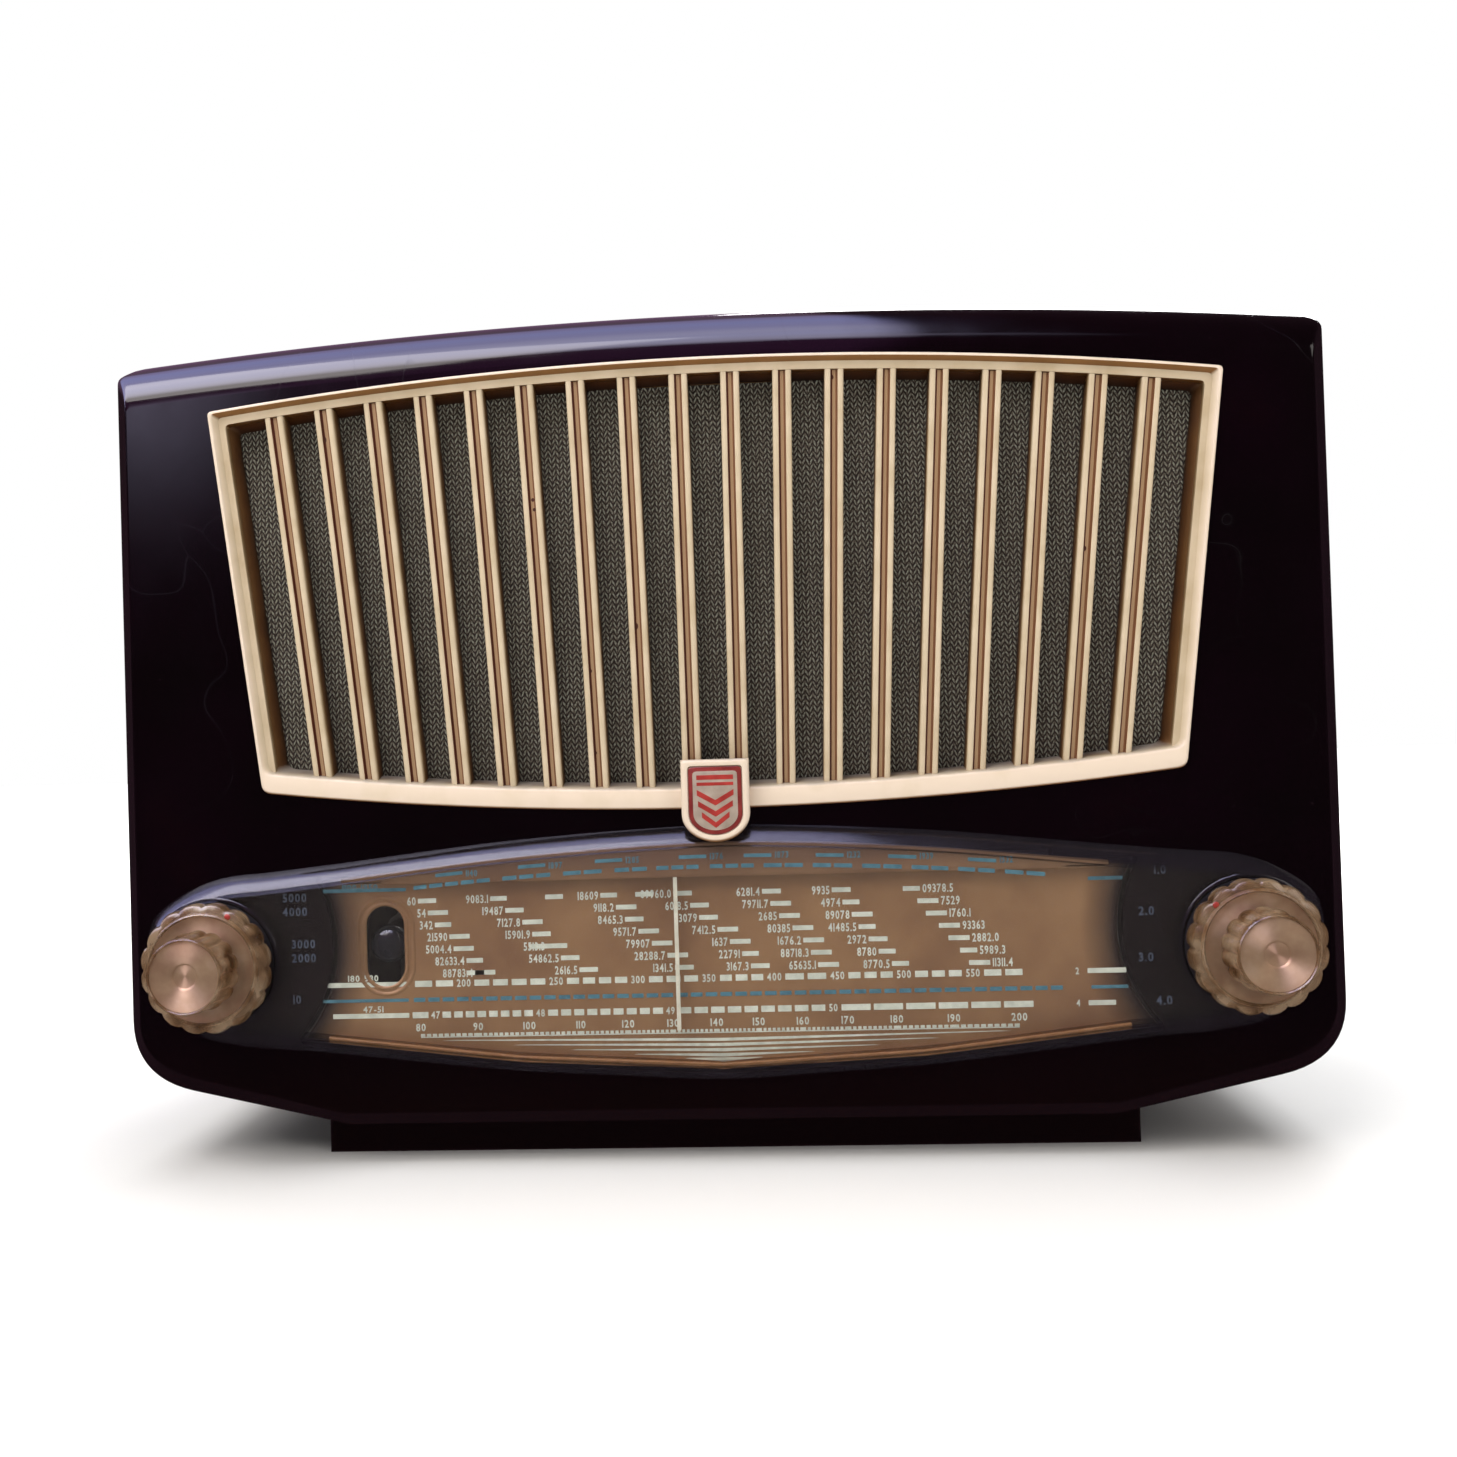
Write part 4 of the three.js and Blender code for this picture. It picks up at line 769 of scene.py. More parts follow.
# %% [markdown]
# ## The grille frame
# The ivory frame stands 2.6 mm proud with a rounded rim, and its inside slopes steeply to the cloth. The
# flat front is 5 mm wide along the bottom and a line elsewhere, so the insets differ for sides, top and
# bottom. One closed profile runs round the fan-shaped outline.

# %% Frame of the grille
FRAME_PROFILE = [  # side, top and bottom inset, then the depth
    (0, 0, 0, -92.3), (0, 0, 0, -93.9), (0.12, 0.12, 0.12, -94.25), (0.4, 0.35, 0.45, -94.5),
    (0.8, 0.7, 0.9, -94.6), (1.1, 1.0, 5.6, -94.55), (1.4, 1.2, 6.2, -94.2), (2.0, 1.6, 6.6, -93.2),
    (3.2, 2.6, 7.0, -91.4), (4.4, 3.7, 7.4, -89.6), (5.6, 4.8, 7.8, -87.6), (6.3, 5.6, 8.0, -86.4),
    (6.6, 6.4, 8.2, -85.2),
    (4.6, 4.6, 4.6, -85.2), (4.6, 4.6, 4.6, -92.3)]
frame_shape = loft([(grille_outline(s, t, b), y) for s, t, b, y in FRAME_PROFILE], closed=True)
print("frame faces:", len(frame_shape[1]))

# %% [markdown]
# ## The badge seat
# A shield with a straight top and a round foot grows from the frame's bottom bar and hangs over the dial
# cover. Its ivory border stands round a shallow pocket, so it is skinned from its back over the rim and
# down to the pocket's floor.

# %% Badge seat
def shield(drawn_in):
    half, straight = 10.4 - drawn_in, 108.3
    drop = straight - 99.6 - drawn_in
    right = [(half * math.cos(a), straight + drop * math.sin(a)) for a in np.linspace(-math.pi / 2, 0, 14)]
    right += [(half, z) for z in np.linspace(straight + 4, 122.9 - drawn_in, 3)]
    top = 124.8 - drawn_in
    right += soft_corner((half, top - 1.2), (half, top), (half - 1.2, top), 4)
    right += [(half * 0.4, top), (0, top)]
    return mirrored(right)


SEAT = [(0, -98.3), (0, -99.9), (0.25, -100.45), (0.8, -100.8), (1.5, -100.8), (2.0, -100.6), (2.2, -99.9)]
seat_shape = loft([(shield(d), y) for d, y in SEAT])
neck = [(-10.4, 107.8), (10.4, 107.8), (10.4, 124.8), (-10.4, 124.8)]
neck_shape = loft([(neck, -92.3), (neck, -99.4)])
print("seat faces:", len(seat_shape[1]))

# %% [markdown]
# ## Fan bars with Geometry Nodes
# Eighteen bars fan out from the bottom to the top. Each has the same section, two rounded ridges beside a
# flat groove, but its own lean and length. Placing them by hand is slow and a plain array can't lean
# them, so a node tree does it: a line of points, one instance of a bar one millimetre tall on each,
# turned by its place in the row and stretched until it reaches both arcs of the frame.

# %% The bar's section
def unit_bar():
    half, front, back = 2.95, -92.5, -85.2
    left = [(-half, back), (-half, front + 0.7), (-half + 0.15, front + 0.25), (-half + 0.5, front),
            (-1.3, front), (-1.12, front + 0.15), (-1.02, front + 0.5), (-0.98, front + 1.2),
            (-0.5, front + 1.25)]
    section = left + [(-x, y) for x, y in reversed(left)]
    rings = [[(x * MM, y * MM, z * MM) for x, y in section] for z in (0, 1)]
    points, faces = skin(rings)
    mesh = bpy.data.meshes.new("unit_bar")
    mesh.from_pydata(points, [], faces)
    clean(mesh)
    groove_dirt_and_shade = mesh.attributes.new("groove_dirt_and_shade", "FLOAT", "FACE")
    for face in mesh.polygons:
        in_groove = abs(face.center.x) < 1.15 * MM and (front + 0.06) * MM < face.center.y < -90.5 * MM
        # The left side of each groove holds the most dirt and painted shadow, its right side less, its middle
        # the least.
        side = 1.0 if face.center.x < -0.5 * MM else (0.85 if face.center.x > 0.5 * MM else 0.6)
        groove_dirt_and_shade.data[face.index].value = side if in_groove and abs(face.normal.z) < 0.5 else 0.0
    obj = bpy.data.objects.new("unit_bar", mesh)
    scene.collection.objects.link(obj)
    return obj


bar_model = unit_bar()
print("faces of one bar:", len(bar_model.data.polygons))

# %% Helpers for node trees
def start_tree(name, sockets):
    """A geometry node tree with named inputs, and its group input and output nodes."""
    tree = bpy.data.node_groups.new(name, "GeometryNodeTree")
    tree.interface.new_socket(name="Geometry", in_out="OUTPUT", socket_type="NodeSocketGeometry")
    for label, kind in sockets:
        tree.interface.new_socket(name=label, in_out="INPUT", socket_type=kind)
    return tree, tree.nodes.new("NodeGroupInput").outputs, tree.nodes.new("NodeGroupOutput")


def grow(name, tree, values):
    """Runs a tree on an empty mesh, with its inputs set by identifier, and keeps the plain mesh."""
    obj = bpy.data.objects.new(name, bpy.data.meshes.new(name))
    scene.collection.objects.link(obj)
    step = obj.modifiers.new("grow", "NODES")
    step.node_group = tree
    for item in tree.interface.items_tree:
        if item.in_out == "INPUT" and item.name in values:
            step[item.identifier] = values[item.name]
    return plain_copy(obj)


print("node tree tools ready")

# %% The tree that fans the bars
def bar_tree():
    tree, given, out = start_tree("fan_of_bars", [
        ("Bar", "NodeSocketObject"), ("Count", "NodeSocketInt"), ("Pitch", "NodeSocketFloat"),
        ("Spread", "NodeSocketFloat"), ("Pitch height", "NodeSocketFloat"),
        ("Top middle", "NodeSocketFloat"), ("Top fall", "NodeSocketFloat"),
        ("Bottom middle", "NodeSocketFloat"), ("Bottom rise", "NodeSocketFloat"),
        ("Material", "NodeSocketMaterial")])
    line = add(tree, "MeshLine", Count=given["Count"], Offset=(0, 0, 0))
    index = add(tree, "InputIndex")
    last = add(tree, "Math SUBTRACT", given["Count"], 1.0)
    number = add(tree, "Math SUBTRACT", index, add(tree, "Math MULTIPLY", last, 0.5))
    x = add(tree, "Math MULTIPLY", number, given["Pitch"])
    lean = add(tree, "Math MULTIPLY", number, given["Spread"])
    # Both arcs of the frame are parabolas: their height is a middle and a fall that grows with x squared.
    # The arcs pass about 70 mm above and 58 mm below the height where the pitch is measured.
    top_x = add(tree, "Math MULTIPLY_ADD", lean, 0.07, x)
    low_x = add(tree, "Math MULTIPLY_ADD", lean, -0.058, x)
    top = add(tree, "Math SUBTRACT", given["Top middle"], add(tree, "Math MULTIPLY", given["Top fall"],
        add(tree, "Math POWER", add(tree, "Math ABSOLUTE", top_x), 2.0)))
    low = add(tree, "Math ADD", given["Bottom middle"], add(tree, "Math MULTIPLY", given["Bottom rise"],
                                                            add(tree, "Math POWER",
        add(tree, "Math ABSOLUTE", low_x), 2.0)))
    from_pitch = add(tree, "Math SUBTRACT", low, given["Pitch height"])
    foot = add(tree, "CombineXYZ", X=add(tree, "Math MULTIPLY_ADD", lean, from_pitch, x), Z=low)
    placed = add(tree, "SetPosition", Geometry=line, Position=foot)
    tilt = add(tree, "Math ARCTANGENT", lean)
    turn = add(tree, "CombineXYZ", Y=tilt)
    length = add(tree, "Math DIVIDE", add(tree, "Math SUBTRACT", top, low), add(tree, "Math COSINE", tilt))
    tall = add(tree, "CombineXYZ", X=1.0, Y=1.0, Z=add(tree, "Math MULTIPLY", length, 1000.0))
    model = add(tree, "ObjectInfo", transform_space="ORIGINAL", Object=given["Bar"])
    bars = add(tree, "InstanceOnPoints", Points=placed, Instance=model.outputs["Geometry"], Rotation=turn,
               Scale=tall)
    real = add(tree, "RealizeInstances", Geometry=bars)
    coated = add(tree, "SetMaterial", Geometry=real, Material=given["Material"])
    feed(out, Geometry=coated)
    return tree


bars = grow("grille_bars", bar_tree(), {
    "Bar": bar_model, "Count": 18, "Pitch": 0.01522, "Spread": 0.0132, "Pitch height": 0.1723,
    "Top middle": 0.2449, "Top fall": 0.0101 / 0.1563 ** 2,
    "Bottom middle": 0.1152, "Bottom rise": 0.0086 / 0.1427 ** 2, "Material": IVORY})
bpy.data.objects.remove(bar_model)
soften(bars.data, 40)
grille = make_object("grille_frame", together(frame_shape, seat_shape, neck_shape), IVORY, sharp=40)
settle(bars, "cabinet", "ivory", "grille")
settle(grille, "cabinet", "ivory", "grille")
print("bar faces:", len(bars.data.polygons))

# %% [markdown]
# ## The badge
# A lithographed plate sits in the seat: an oxblood border round a silver field. The field carries a plain
# mark of our own, three nested chevrons between two bars, with no letters. Thin plates with eased
# edges stand for the ink, because they stay true at any size.

# %% Badge plate with a plain mark
def chevron(z, width, reach, thick, y):
    """A V-shaped band, its arms rising outwards."""
    outline = [(0, z), (width, z + reach), (width, z + reach + thick), (0, z + thick),
               (-width, z + reach + thick), (-width, z + reach)]
    return loft([(outline, y + 0.12), (outline, y)])


badge = make_object("badge_border", loft([(shield(d), y) for d,
                                          y in ((2.3, -100.0), (2.3, -100.35), (2.5, -100.5))]), DARK_RED)
field = make_object("badge_field", loft([(shield(d), y) for d,
                                         y in ((3.6, -100.45), (3.6, -100.62), (3.75, -100.68))]), SILVER)
mark = make_object("badge_mark", together(chevron(103.9, 4.2, 3.2, 1.7, -100.74),
                                          chevron(107.3, 5.3, 3.2, 1.7, -100.74),
                                          chevron(110.7, 5.6, 3.2, 1.7, -100.74),
                                          box_shape(-5.6, 5.6, -100.74, -100.6, 116.8, 117.8, 0.05),
                                          box_shape(-5.6, 5.6, -100.74, -100.6, 118.6, 120.0, 0.05)), RED_INK)
settle(badge, "cabinet", "badge", "badge_plate")
settle(field, "cabinet", "badge")
settle(mark, "cabinet", "badge")
print("badge mark faces:", len(mark.data.polygons))

# %% [markdown]
# ## The speaker cloth
# The cloth is glued over the baffle board and stretched flat, so no simulation is needed: a still sheet
# under tension is a plane. It is a thin closed sheet with a fine grid, a UV map in millimetres for the
# weave, and a ripple of a tenth of a millimetre where the glue pulled it.

# %% Stretched cloth
CLOTH_HALF, CLOTH_LEVEL, CLOTH_LOW, CLOTH_SIDE, CLOTH_TOP = 163.0, 110.0, 114.0, 238.0, 243.0


def cloth_top(x):
    """The board's upper edge is level in the middle and falls towards its ends."""
    fall = (CLOTH_TOP - CLOTH_SIDE) * (abs(x) - CLOTH_LEVEL) / (CLOTH_HALF - CLOTH_LEVEL)
    return CLOTH_TOP - max(0.0, fall)


def make_sheet():
    across, up = 84, 34
    points, faces = [], []
    for layer, y in ((0, -84.4), (1, -83.7)):
        for j in range(up + 1):
            for i in range(across + 1):
                x = CLOTH_HALF * (2 * i / across - 1)
                z = CLOTH_LOW + (cloth_top(x) - CLOTH_LOW) * j / up
                ripple = 0.05 * math.sin(x * 0.11) * math.sin(z * 0.17)
                points.append((x, y + ripple, z))
    row = across + 1
    layer_size = row * (up + 1)
    for j in range(up):
        for i in range(across):
            a = j * row + i
            faces.append((a, a + 1, a + row + 1, a + row))
            faces.append(tuple(layer_size + v for v in (a + row, a + row + 1, a + 1, a)))
    rim = [*range(0, row), *range(2 * row - 1, layer_size, row),
           *range(layer_size - 2, layer_size - row - 1, -1), *range(layer_size - 2 * row, 0, -row)]
    for a, b in zip(rim, rim[1:] + rim[:1]):
        faces.append((b, a, a + layer_size, b + layer_size))
    return points, faces


cloth = make_object("grille_cloth_sheet", make_sheet(), CLOTH)
threads = cloth.data.uv_layers.new(name="threads")
for loop in cloth.data.loops:
    spot = cloth.data.vertices[loop.vertex_index].co
    threads.data[loop.index].uv = (spot.x / MM, spot.z / MM)
settle(cloth, "cabinet", "grille_cloth", "grille_cloth")

# %% [markdown]
# ## The dial plate
# The plate is tinplate with a folded edge. Its top is pressed forward as an apron, so that the pointer's
# arm can pass behind, and a bright copper fold runs along the shallow V of its lower edge. A slab with
# eased edges gives the face, and the tuning eye's window is cut through it.

# %% Dial plate
PLATE_Y, APRON_Y = -91.0, -95.4
tray = loft([(dial_outline(0), -85.9), (dial_outline(0), -90.6), (dial_outline(0.4), PLATE_Y),
             (dial_outline(1.0), PLATE_Y), (dial_outline(1.2), -90.2), (dial_outline(1.2), -85.9)], closed=True)
face = loft([(dial_outline(0.7), -90.2), (dial_outline(0.7), PLATE_Y)])
dial = make_object("dial_plate_face", face, DIAL_PAINT, sharp=30)


def racetrack(x, z, width, height, steps=14):
    """An upright slot with round ends."""
    r = width / 2
    top = [(x + r * math.cos(a), z + height / 2 - r + r * math.sin(a)) for a in np.linspace(0, math.pi, steps)]
    foot = [(x + r * math.cos(a), z - height / 2 + r + r * math.sin(a)) for a in np.linspace(math.pi,
        2 * math.pi, steps)]
    return top + foot


EYE_X, EYE_Z = -105.5, 69.0
combine(dial, prism(racetrack(EYE_X, EYE_Z, 12.4, 25.6), -96, -80))
coat(dial, DIAL_PAINT)
flatten_front(dial.data)
rims = []
for width, height, proud in ((13.4, 26.6, 0.5), (17.6, 30.4, 0.45)):
    rims.append(loft([(racetrack(EYE_X, EYE_Z, width + 2 * g, height + 2 * g), PLATE_Y - h) for g,
                      h in ((-0.7, 0.0), (-0.35, proud * 0.8), (0, proud), (0.35, proud * 0.8), (0.7, 0.0))],
                     closed=True))
apron_edge = [(0, 88.8), (118, 88.8), (118, 90.8), (71.6, 95.6), (36, 98.4), (6, 99.4)]
apron_outline = apron_edge + [(-x, z) for x, z in reversed(apron_edge[1:])]
apron = loft([(apron_outline, APRON_Y + 0.6), (apron_outline, APRON_Y + 0.15),
              (inset(apron_outline, 0.2), APRON_Y)])
links = [box_shape(s * 111 - 6, s * 111 + 6, APRON_Y, PLATE_Y, 88.8, 89.8) for s in (-1, 1)]
dial_trim = make_object("dial_plate_pressings", together(tray, apron, *rims, *links), DIAL_PAINT, sharp=50)
settle(dial, "cabinet", "dial_print", "dial_plate")
settle(dial_trim, "cabinet", "dial_print", "dial_plate")


def lower_edge(x):
    """The height of the plate's V-shaped foot."""
    if abs(x) <= KNEE_X:
        return PLATE_FOOT + 3.2 * abs(x) / KNEE_X
    return KNEE_Z + 8 * (abs(x) - KNEE_X) / (132.4 - KNEE_X)


fold_low = [(x, lower_edge(x) + 0.2) for x in np.linspace(-124, 124, 41)]
fold = fold_low + [(x, z + 1.7) for x, z in reversed(fold_low)]
COPPER = make_plain("tinplate_bright_copper", "#e2a86e", "#c48c52", 0.42, 0.1, patch_mm=4)
copper_fold = make_object("dial_copper_fold", loft([(fold, -90.9), (fold, -92.4), (inset(fold, 0.25), -92.6)]),
                          COPPER)
settle(copper_fold, "cabinet", "dial_print")
print("dial pressings:", len(dial_trim.data.polygons))

# %% [markdown]
# ## Print on the dial
# The scale is screen-printed: bars, blocks, a fine comb and numerals in white and teal. Station names are
# replaced by plain numerals. Rows of blocks repeat, so a node tree lays each row: a line of points, a
# block on each, then a bend that makes the row follow the arched top of the dial.

# %% The tree that prints a row
def row_tree():
    tree, given, out = start_tree("printed_row", [
        ("Count", "NodeSocketInt"), ("Start", "NodeSocketVector"), ("Pitch", "NodeSocketFloat"),
        ("Size", "NodeSocketVector"), ("Bow", "NodeSocketFloat"), ("Material", "NodeSocketMaterial")])
    step = add(tree, "CombineXYZ", X=given["Pitch"])
    line = add(tree, "MeshLine", Count=given["Count"], Start_Location=given["Start"], Offset=step)
    block = add(tree, "MeshCube", Size=given["Size"])
    laid = add(tree, "InstanceOnPoints", Points=line, Instance=block)
    real = add(tree, "RealizeInstances", Geometry=laid)
    place = add(tree, "InputPosition")
    split = add(tree, "SeparateXYZ", Vector=place)
    square = add(tree, "Math MULTIPLY", split.outputs["X"], split.outputs["X"])
    fall = add(tree, "Math MULTIPLY", square, given["Bow"])
    shift = add(tree, "CombineXYZ", Z=fall)
    bent = add(tree, "SetPosition", Geometry=real, Offset=shift)
    coated = add(tree, "SetMaterial", Geometry=bent, Material=given["Material"])
    feed(out, Geometry=coated)
    return tree


ROW = row_tree()
INK_ON_PLATE, INK_ON_APRON = PLATE_Y - 0.06, APRON_Y - 0.06


def row(first, last, z, length, height, gap, ink, y=INK_ON_PLATE, bow=0.0):
    """A row of blocks from one x to another, as one mesh object."""
    count = max(1, round((last - first + gap) / (length + gap)))
    pitch = (last - first + gap) / count
    return grow("row", ROW, {
        "Count": count, "Start": ((first + (pitch - gap) / 2) * MM, y * MM, z * MM), "Pitch": pitch * MM,
        "Size": ((pitch - gap) * MM, 0.12 * MM, height * MM), "Bow": bow / MM, "Material": ink})


def merge(name, objects, material):
    """Joins mesh objects into the first one."""
    first = objects[0]
    with bpy.context.temp_override(active_object=first, selected_editable_objects=objects, object=first):
        bpy.ops.object.join()
    objects[0].name = name
    coat(objects[0], material)
    return objects[0]


print("row tree nodes:", len(ROW.nodes))

# %% [markdown]
# Numerals come from Blender's own font. Each character is turned into a thin closed mesh once and copied
# wherever it is needed, which is quicker than one text object for each label. The dial's face is a
# narrow one, so the characters are squeezed to three quarters of their width.

# %% Numerals
def glyph(character):
    curve = bpy.data.curves.new("glyph", "FONT")
    curve.body, curve.size, curve.extrude, curve.resolution_u, curve.offset = character, 1.0, 0.02, 2, 0.022
    obj = bpy.data.objects.new("glyph", curve)
    scene.collection.objects.link(obj)
    bpy.context.view_layer.update()
    mesh = bpy.data.meshes.new_from_object(obj.evaluated_get(bpy.context.evaluated_depsgraph_get()))
    clean(mesh, 1e-4)
    result = ([tuple(v.co) for v in mesh.vertices], [tuple(p.vertices) for p in mesh.polygons])
    bpy.data.objects.remove(obj)
    bpy.data.curves.remove(curve)
    return result


GLYPHS = {c: glyph(c) for c in "0123456789-."}
CAP = 0.70  # the font's cap height for a size of one


def label(text, x, z, cap=2.3, y=INK_ON_PLATE, align=0.5, squeeze=0.78):
    """A numeral on the dial: its baseline's height is z, and align is 0 left, 0.5 middle, 1 right."""
    scale = cap / CAP
    advance, parts = 0.0, []
    for character in text:
        points, faces = GLYPHS[character]
        left, right = min(p[0] for p in points), max(p[0] for p in points)
        parts.append((advance - left, points, faces))
        advance += right - left + 0.13
    width = (advance - 0.13) * scale * squeeze
    start = x - width * align
    return together(*[([(start + (p[0] + shift) * scale * squeeze, y - p[2] * 2,
                         z + p[1] * scale) for p in points], faces) for shift, points, faces in parts])


print("numerals:", len(GLYPHS))

# %% [markdown]
# The white print has seven rows of station bars, each column stepping to the right as it goes down, then
# the block scale with its numbers, a second scale, the comb with 80 to 200, and the pointed stripes
# under them. The numbers on the bars are drawn at random from a fixed seed.

# %% White print
random.seed(7)
STATION_ROWS = [83.4 - 3.83 * i for i in range(7)]
# Where each column's first bar starts, and how far it steps each row down.
COLUMNS = [(-94.5, 2.8), (-71.0, 4.3), (-37.0, 3.9), (-13.6, 3.9), (13.1, 2.9), (34.6, 2.9), (57.3, 3.1)]
FIRST_COLUMN = (2, 2, 3, 5, 6, 7, 7)  # how many figures fit beside the eye
ROW_BOW = -0.00006  # how fast a row falls with x squared, both in millimetres
white_rows, white_labels = [], []
for i, z in enumerate(STATION_ROWS):
    for j, (start_x, step) in enumerate(COLUMNS):
        x = start_x + step * i + random.uniform(-1.0, 1.0)
        length = random.choice((5.2, 5.8, 6.4, 6.4))
        white_rows.append(row(x, x + length, z, length, 1.45, 0, WHITE_INK, bow=ROW_BOW))
        figures = FIRST_COLUMN[i] if j == 0 else random.choice((4, 5, 6, 6, 7))
        digits = "".join(random.choice("0123456789") for _ in range(figures))
        if figures > 5:
            digits = digits[:-2] + "." + digits[-1]
        # The last column's numbers stand behind its bars, the others before them.
        spot, align = (x + length + 0.8, 0) if j == len(COLUMNS) - 1 else (x - 0.7, 1)
        white_labels.append(label(digits, spot, z - 1.25 + ROW_BOW * x * x, 2.5, align=align, squeeze=0.7))
# Four more bars stand alone.
for x, i in ((-54.5, 0), (-26.2, 0), (-60.0, 4), (-80.0, 6)):
    white_rows.append(row(x, x + 5.6, STATION_ROWS[i], 5.6, 1.45, 0, WHITE_INK, bow=ROW_BOW))

SCALE_Z = 56.9
MARKS = [(200, -81.0), (250, -51.8), (300, -26.1), (350, -4.0), (400, 16.2), (450, 35.6), (500, 56.0),
         (550, 77.0)]
spans = [-96.5] + [x for _, x in MARKS] + [92.0]
for a, b in zip(spans, spans[1:]):
    first = a + (0 if a == spans[0] else 3.4)
    last = b - (0 if b == spans[-1] else 3.4)
    white_rows.append(row(first, last, SCALE_Z, 4.4, 1.9, 1.2, WHITE_INK))
for number, x in MARKS:
    white_labels.append(label(str(number), x, SCALE_Z - 1.1, 2.3))
for first, last in ((-126.5, -98.4), (111.6, 123.2)):
    white_rows.append(row(first, last, SCALE_Z, 40, 1.5, 0, WHITE_INK))
white_labels.append(label("180-580", -113, SCALE_Z + 1.1, 1.9, squeeze=1.0))
white_labels.append(label("2", 108.5, SCALE_Z - 1.0, 2.0))

SHORT_Z = 47.1
# Each stretch's ends and the length of its blocks, which grow to the right.
STRETCHES = [(-97.5, -92.5, 5.0), (-88.0, -59.4, 2.5), (-54.6, -18.6, 3.2), (-14.0, 31.6, 4.2),
             (36.6, 95.0, 8.6)]
for first, last, length in STRETCHES:
    white_rows.append(row(first, last, SHORT_Z, length, 1.9, 1.0, WHITE_INK))
for number, x in ((47, -90.2), (48, -57.0), (49, -16.3), (50, 34.1)):
    white_labels.append(label(str(number), x, SHORT_Z - 1.1, 2.2))
for first, last in ((-122.9, -98.6), (111.6, 119.8)):
    white_rows.append(row(first, last, SHORT_Z, 40, 1.5, 0, WHITE_INK))
white_labels.append(label("47-51", -110, SHORT_Z + 1.1, 1.9, squeeze=1.0))
white_labels.append(label("4", 108.5, SHORT_Z - 1.0, 2.0))

TENS = [-95.0, -76.8, -60.6, -44.4, -29.6, -15.6, -2.0, 11.0, 24.6, 38.4, 53.4, 70.8, 90.6]
for i, x in enumerate(TENS):
    white_labels.append(label(str(80 + 10 * i), x, 42.1, 2.3, squeeze=0.85))
for a, b in zip(TENS, TENS[1:]):
    white_rows.append(row(a, b, 40.75, (b - a) / 10 - 0.55, 0.85, 0.55, WHITE_INK))
white_rows.append(row(TENS[0], TENS[-1], 40.1, 400, 0.3, 0, WHITE_INK))


def stripe(half, z, thick, tip):
    """A long sliver, pointed at its ends and a little lower in the middle."""
    low = [(-half, z + tip), (0, z - thick / 2), (half, z + tip)]
    high = [(half * 0.96, z + tip + 0.12), (0, z + thick / 2), (-half * 0.96, z + tip + 0.12)]
    return loft([(low + high, y) for y in (PLATE_Y + 0.01, INK_ON_PLATE)])


stripes = [stripe(88, 37.9, 0.95, 1.1), stripe(66, 36.3, 1.0, 0.9), stripe(48, 34.7, 1.0, 0.7),
           stripe(28, 33.1, 1.1, 0.6), stripe(12, 31.7, 1.3, 0.5)]
numbers = make_object("print_white_numerals", together(*white_labels), WHITE_INK, tidy=False)
blocks = merge("print_white_blocks", white_rows, WHITE_INK)
pointed = make_object("print_white_stripes", together(*stripes), WHITE_INK)
for ink_piece in (numbers, blocks, pointed):
    settle(ink_piece, "cabinet", "dial_print")
print("labels:", len(white_labels), "rows:", len(white_rows))

# %% [markdown]
# Teal print carries the long-wave band. Its dashes follow the arched top edge of the apron, and one row
# crosses the plate between the two white scales. Slate numerals beside the knobs number their positions.

# %% Teal and slate print
teal_rows, teal_labels, slate_labels = [], [], []
TOP_BOW = -0.00050
DASHES = [(-95, -71), (-67, -52), (-48, -36), (-32, -22), (-19, -6), (-2.5, 11), (14, 26), (29, 41), (44, 56),
          (59, 70), (73, 84), (87, 99)]
for first, last in DASHES:
    teal_rows.append(row(first, last, 91.9, 4.6, 1.25, 0.9, TEAL_INK, y=INK_ON_APRON, bow=TOP_BOW))
for x in (-88, -62, -38, -12, 8, 30, 52, 76):
    z = 95.0 + TOP_BOW * x * x
    teal_rows.append(row(x, x + 8.5, 95.0, 9, 1.1, 0, TEAL_INK, y=INK_ON_APRON, bow=TOP_BOW))
    teal_labels.append(label(str(random.randint(1100, 1950)), x + 9.6, z - 0.9 + TOP_BOW * 9.6 * x, 1.9,
                             y=INK_ON_APRON, align=0))
teal_rows.append(row(-125.1, -98.6, 86.6, 40, 1.1, 0, TEAL_INK))
teal_rows.append(row(112.6, 123.0, 85.0, 40, 1.1, 0, TEAL_INK))
teal_labels.append(label("1100-1950", -112, 87.0, 1.9, y=INK_ON_APRON, squeeze=1.0))
teal_rows.append(row(-97, 104, 51.9, 3.6, 1.3, 0.95, TEAL_INK))
teal_rows.append(row(-126.0, -98.6, 51.9, 40, 1.0, 0, TEAL_INK))
teal_rows.append(row(112.6, 123.6, 51.9, 40, 1.0, 0, TEAL_INK))
POSITIONS = [("5000", -134, 83.6), ("4000", -134, 79.2), ("3000", -131.5, 69), ("2000", -131.5, 64.6),
             ("10", -134, 51.6), ("1.0", 134, 86.0), ("2.0", 129.5, 73.6), ("3.0", 129, 59.6),
             ("4.0", 134, 46.4)]
for text, x, z in POSITIONS:
    slate_labels.append(label(text, x, z, 2.6, y=-92.12, squeeze=0.9))
teal = merge("print_teal_blocks", teal_rows, TEAL_INK)
teal_numbers = make_object("print_teal_numerals", together(*teal_labels), TEAL_INK, tidy=False)
slate = make_object("print_slate_numerals", together(*slate_labels), DIM_INK, tidy=False)
for ink_piece in (teal, teal_numbers, slate):
    settle(ink_piece, "cabinet", "dial_print")
print("teal rows:", len(teal_rows))

# %% [markdown]
# ## Pointer and eye
# The pointer is a thin enamelled needle that rides along the dial. Its solid is already right, so it only
# gets its enamel. The tuning eye is a valve whose green screen shows when the set is on; here it is off,
# and a dark glass dome shows through the slot.

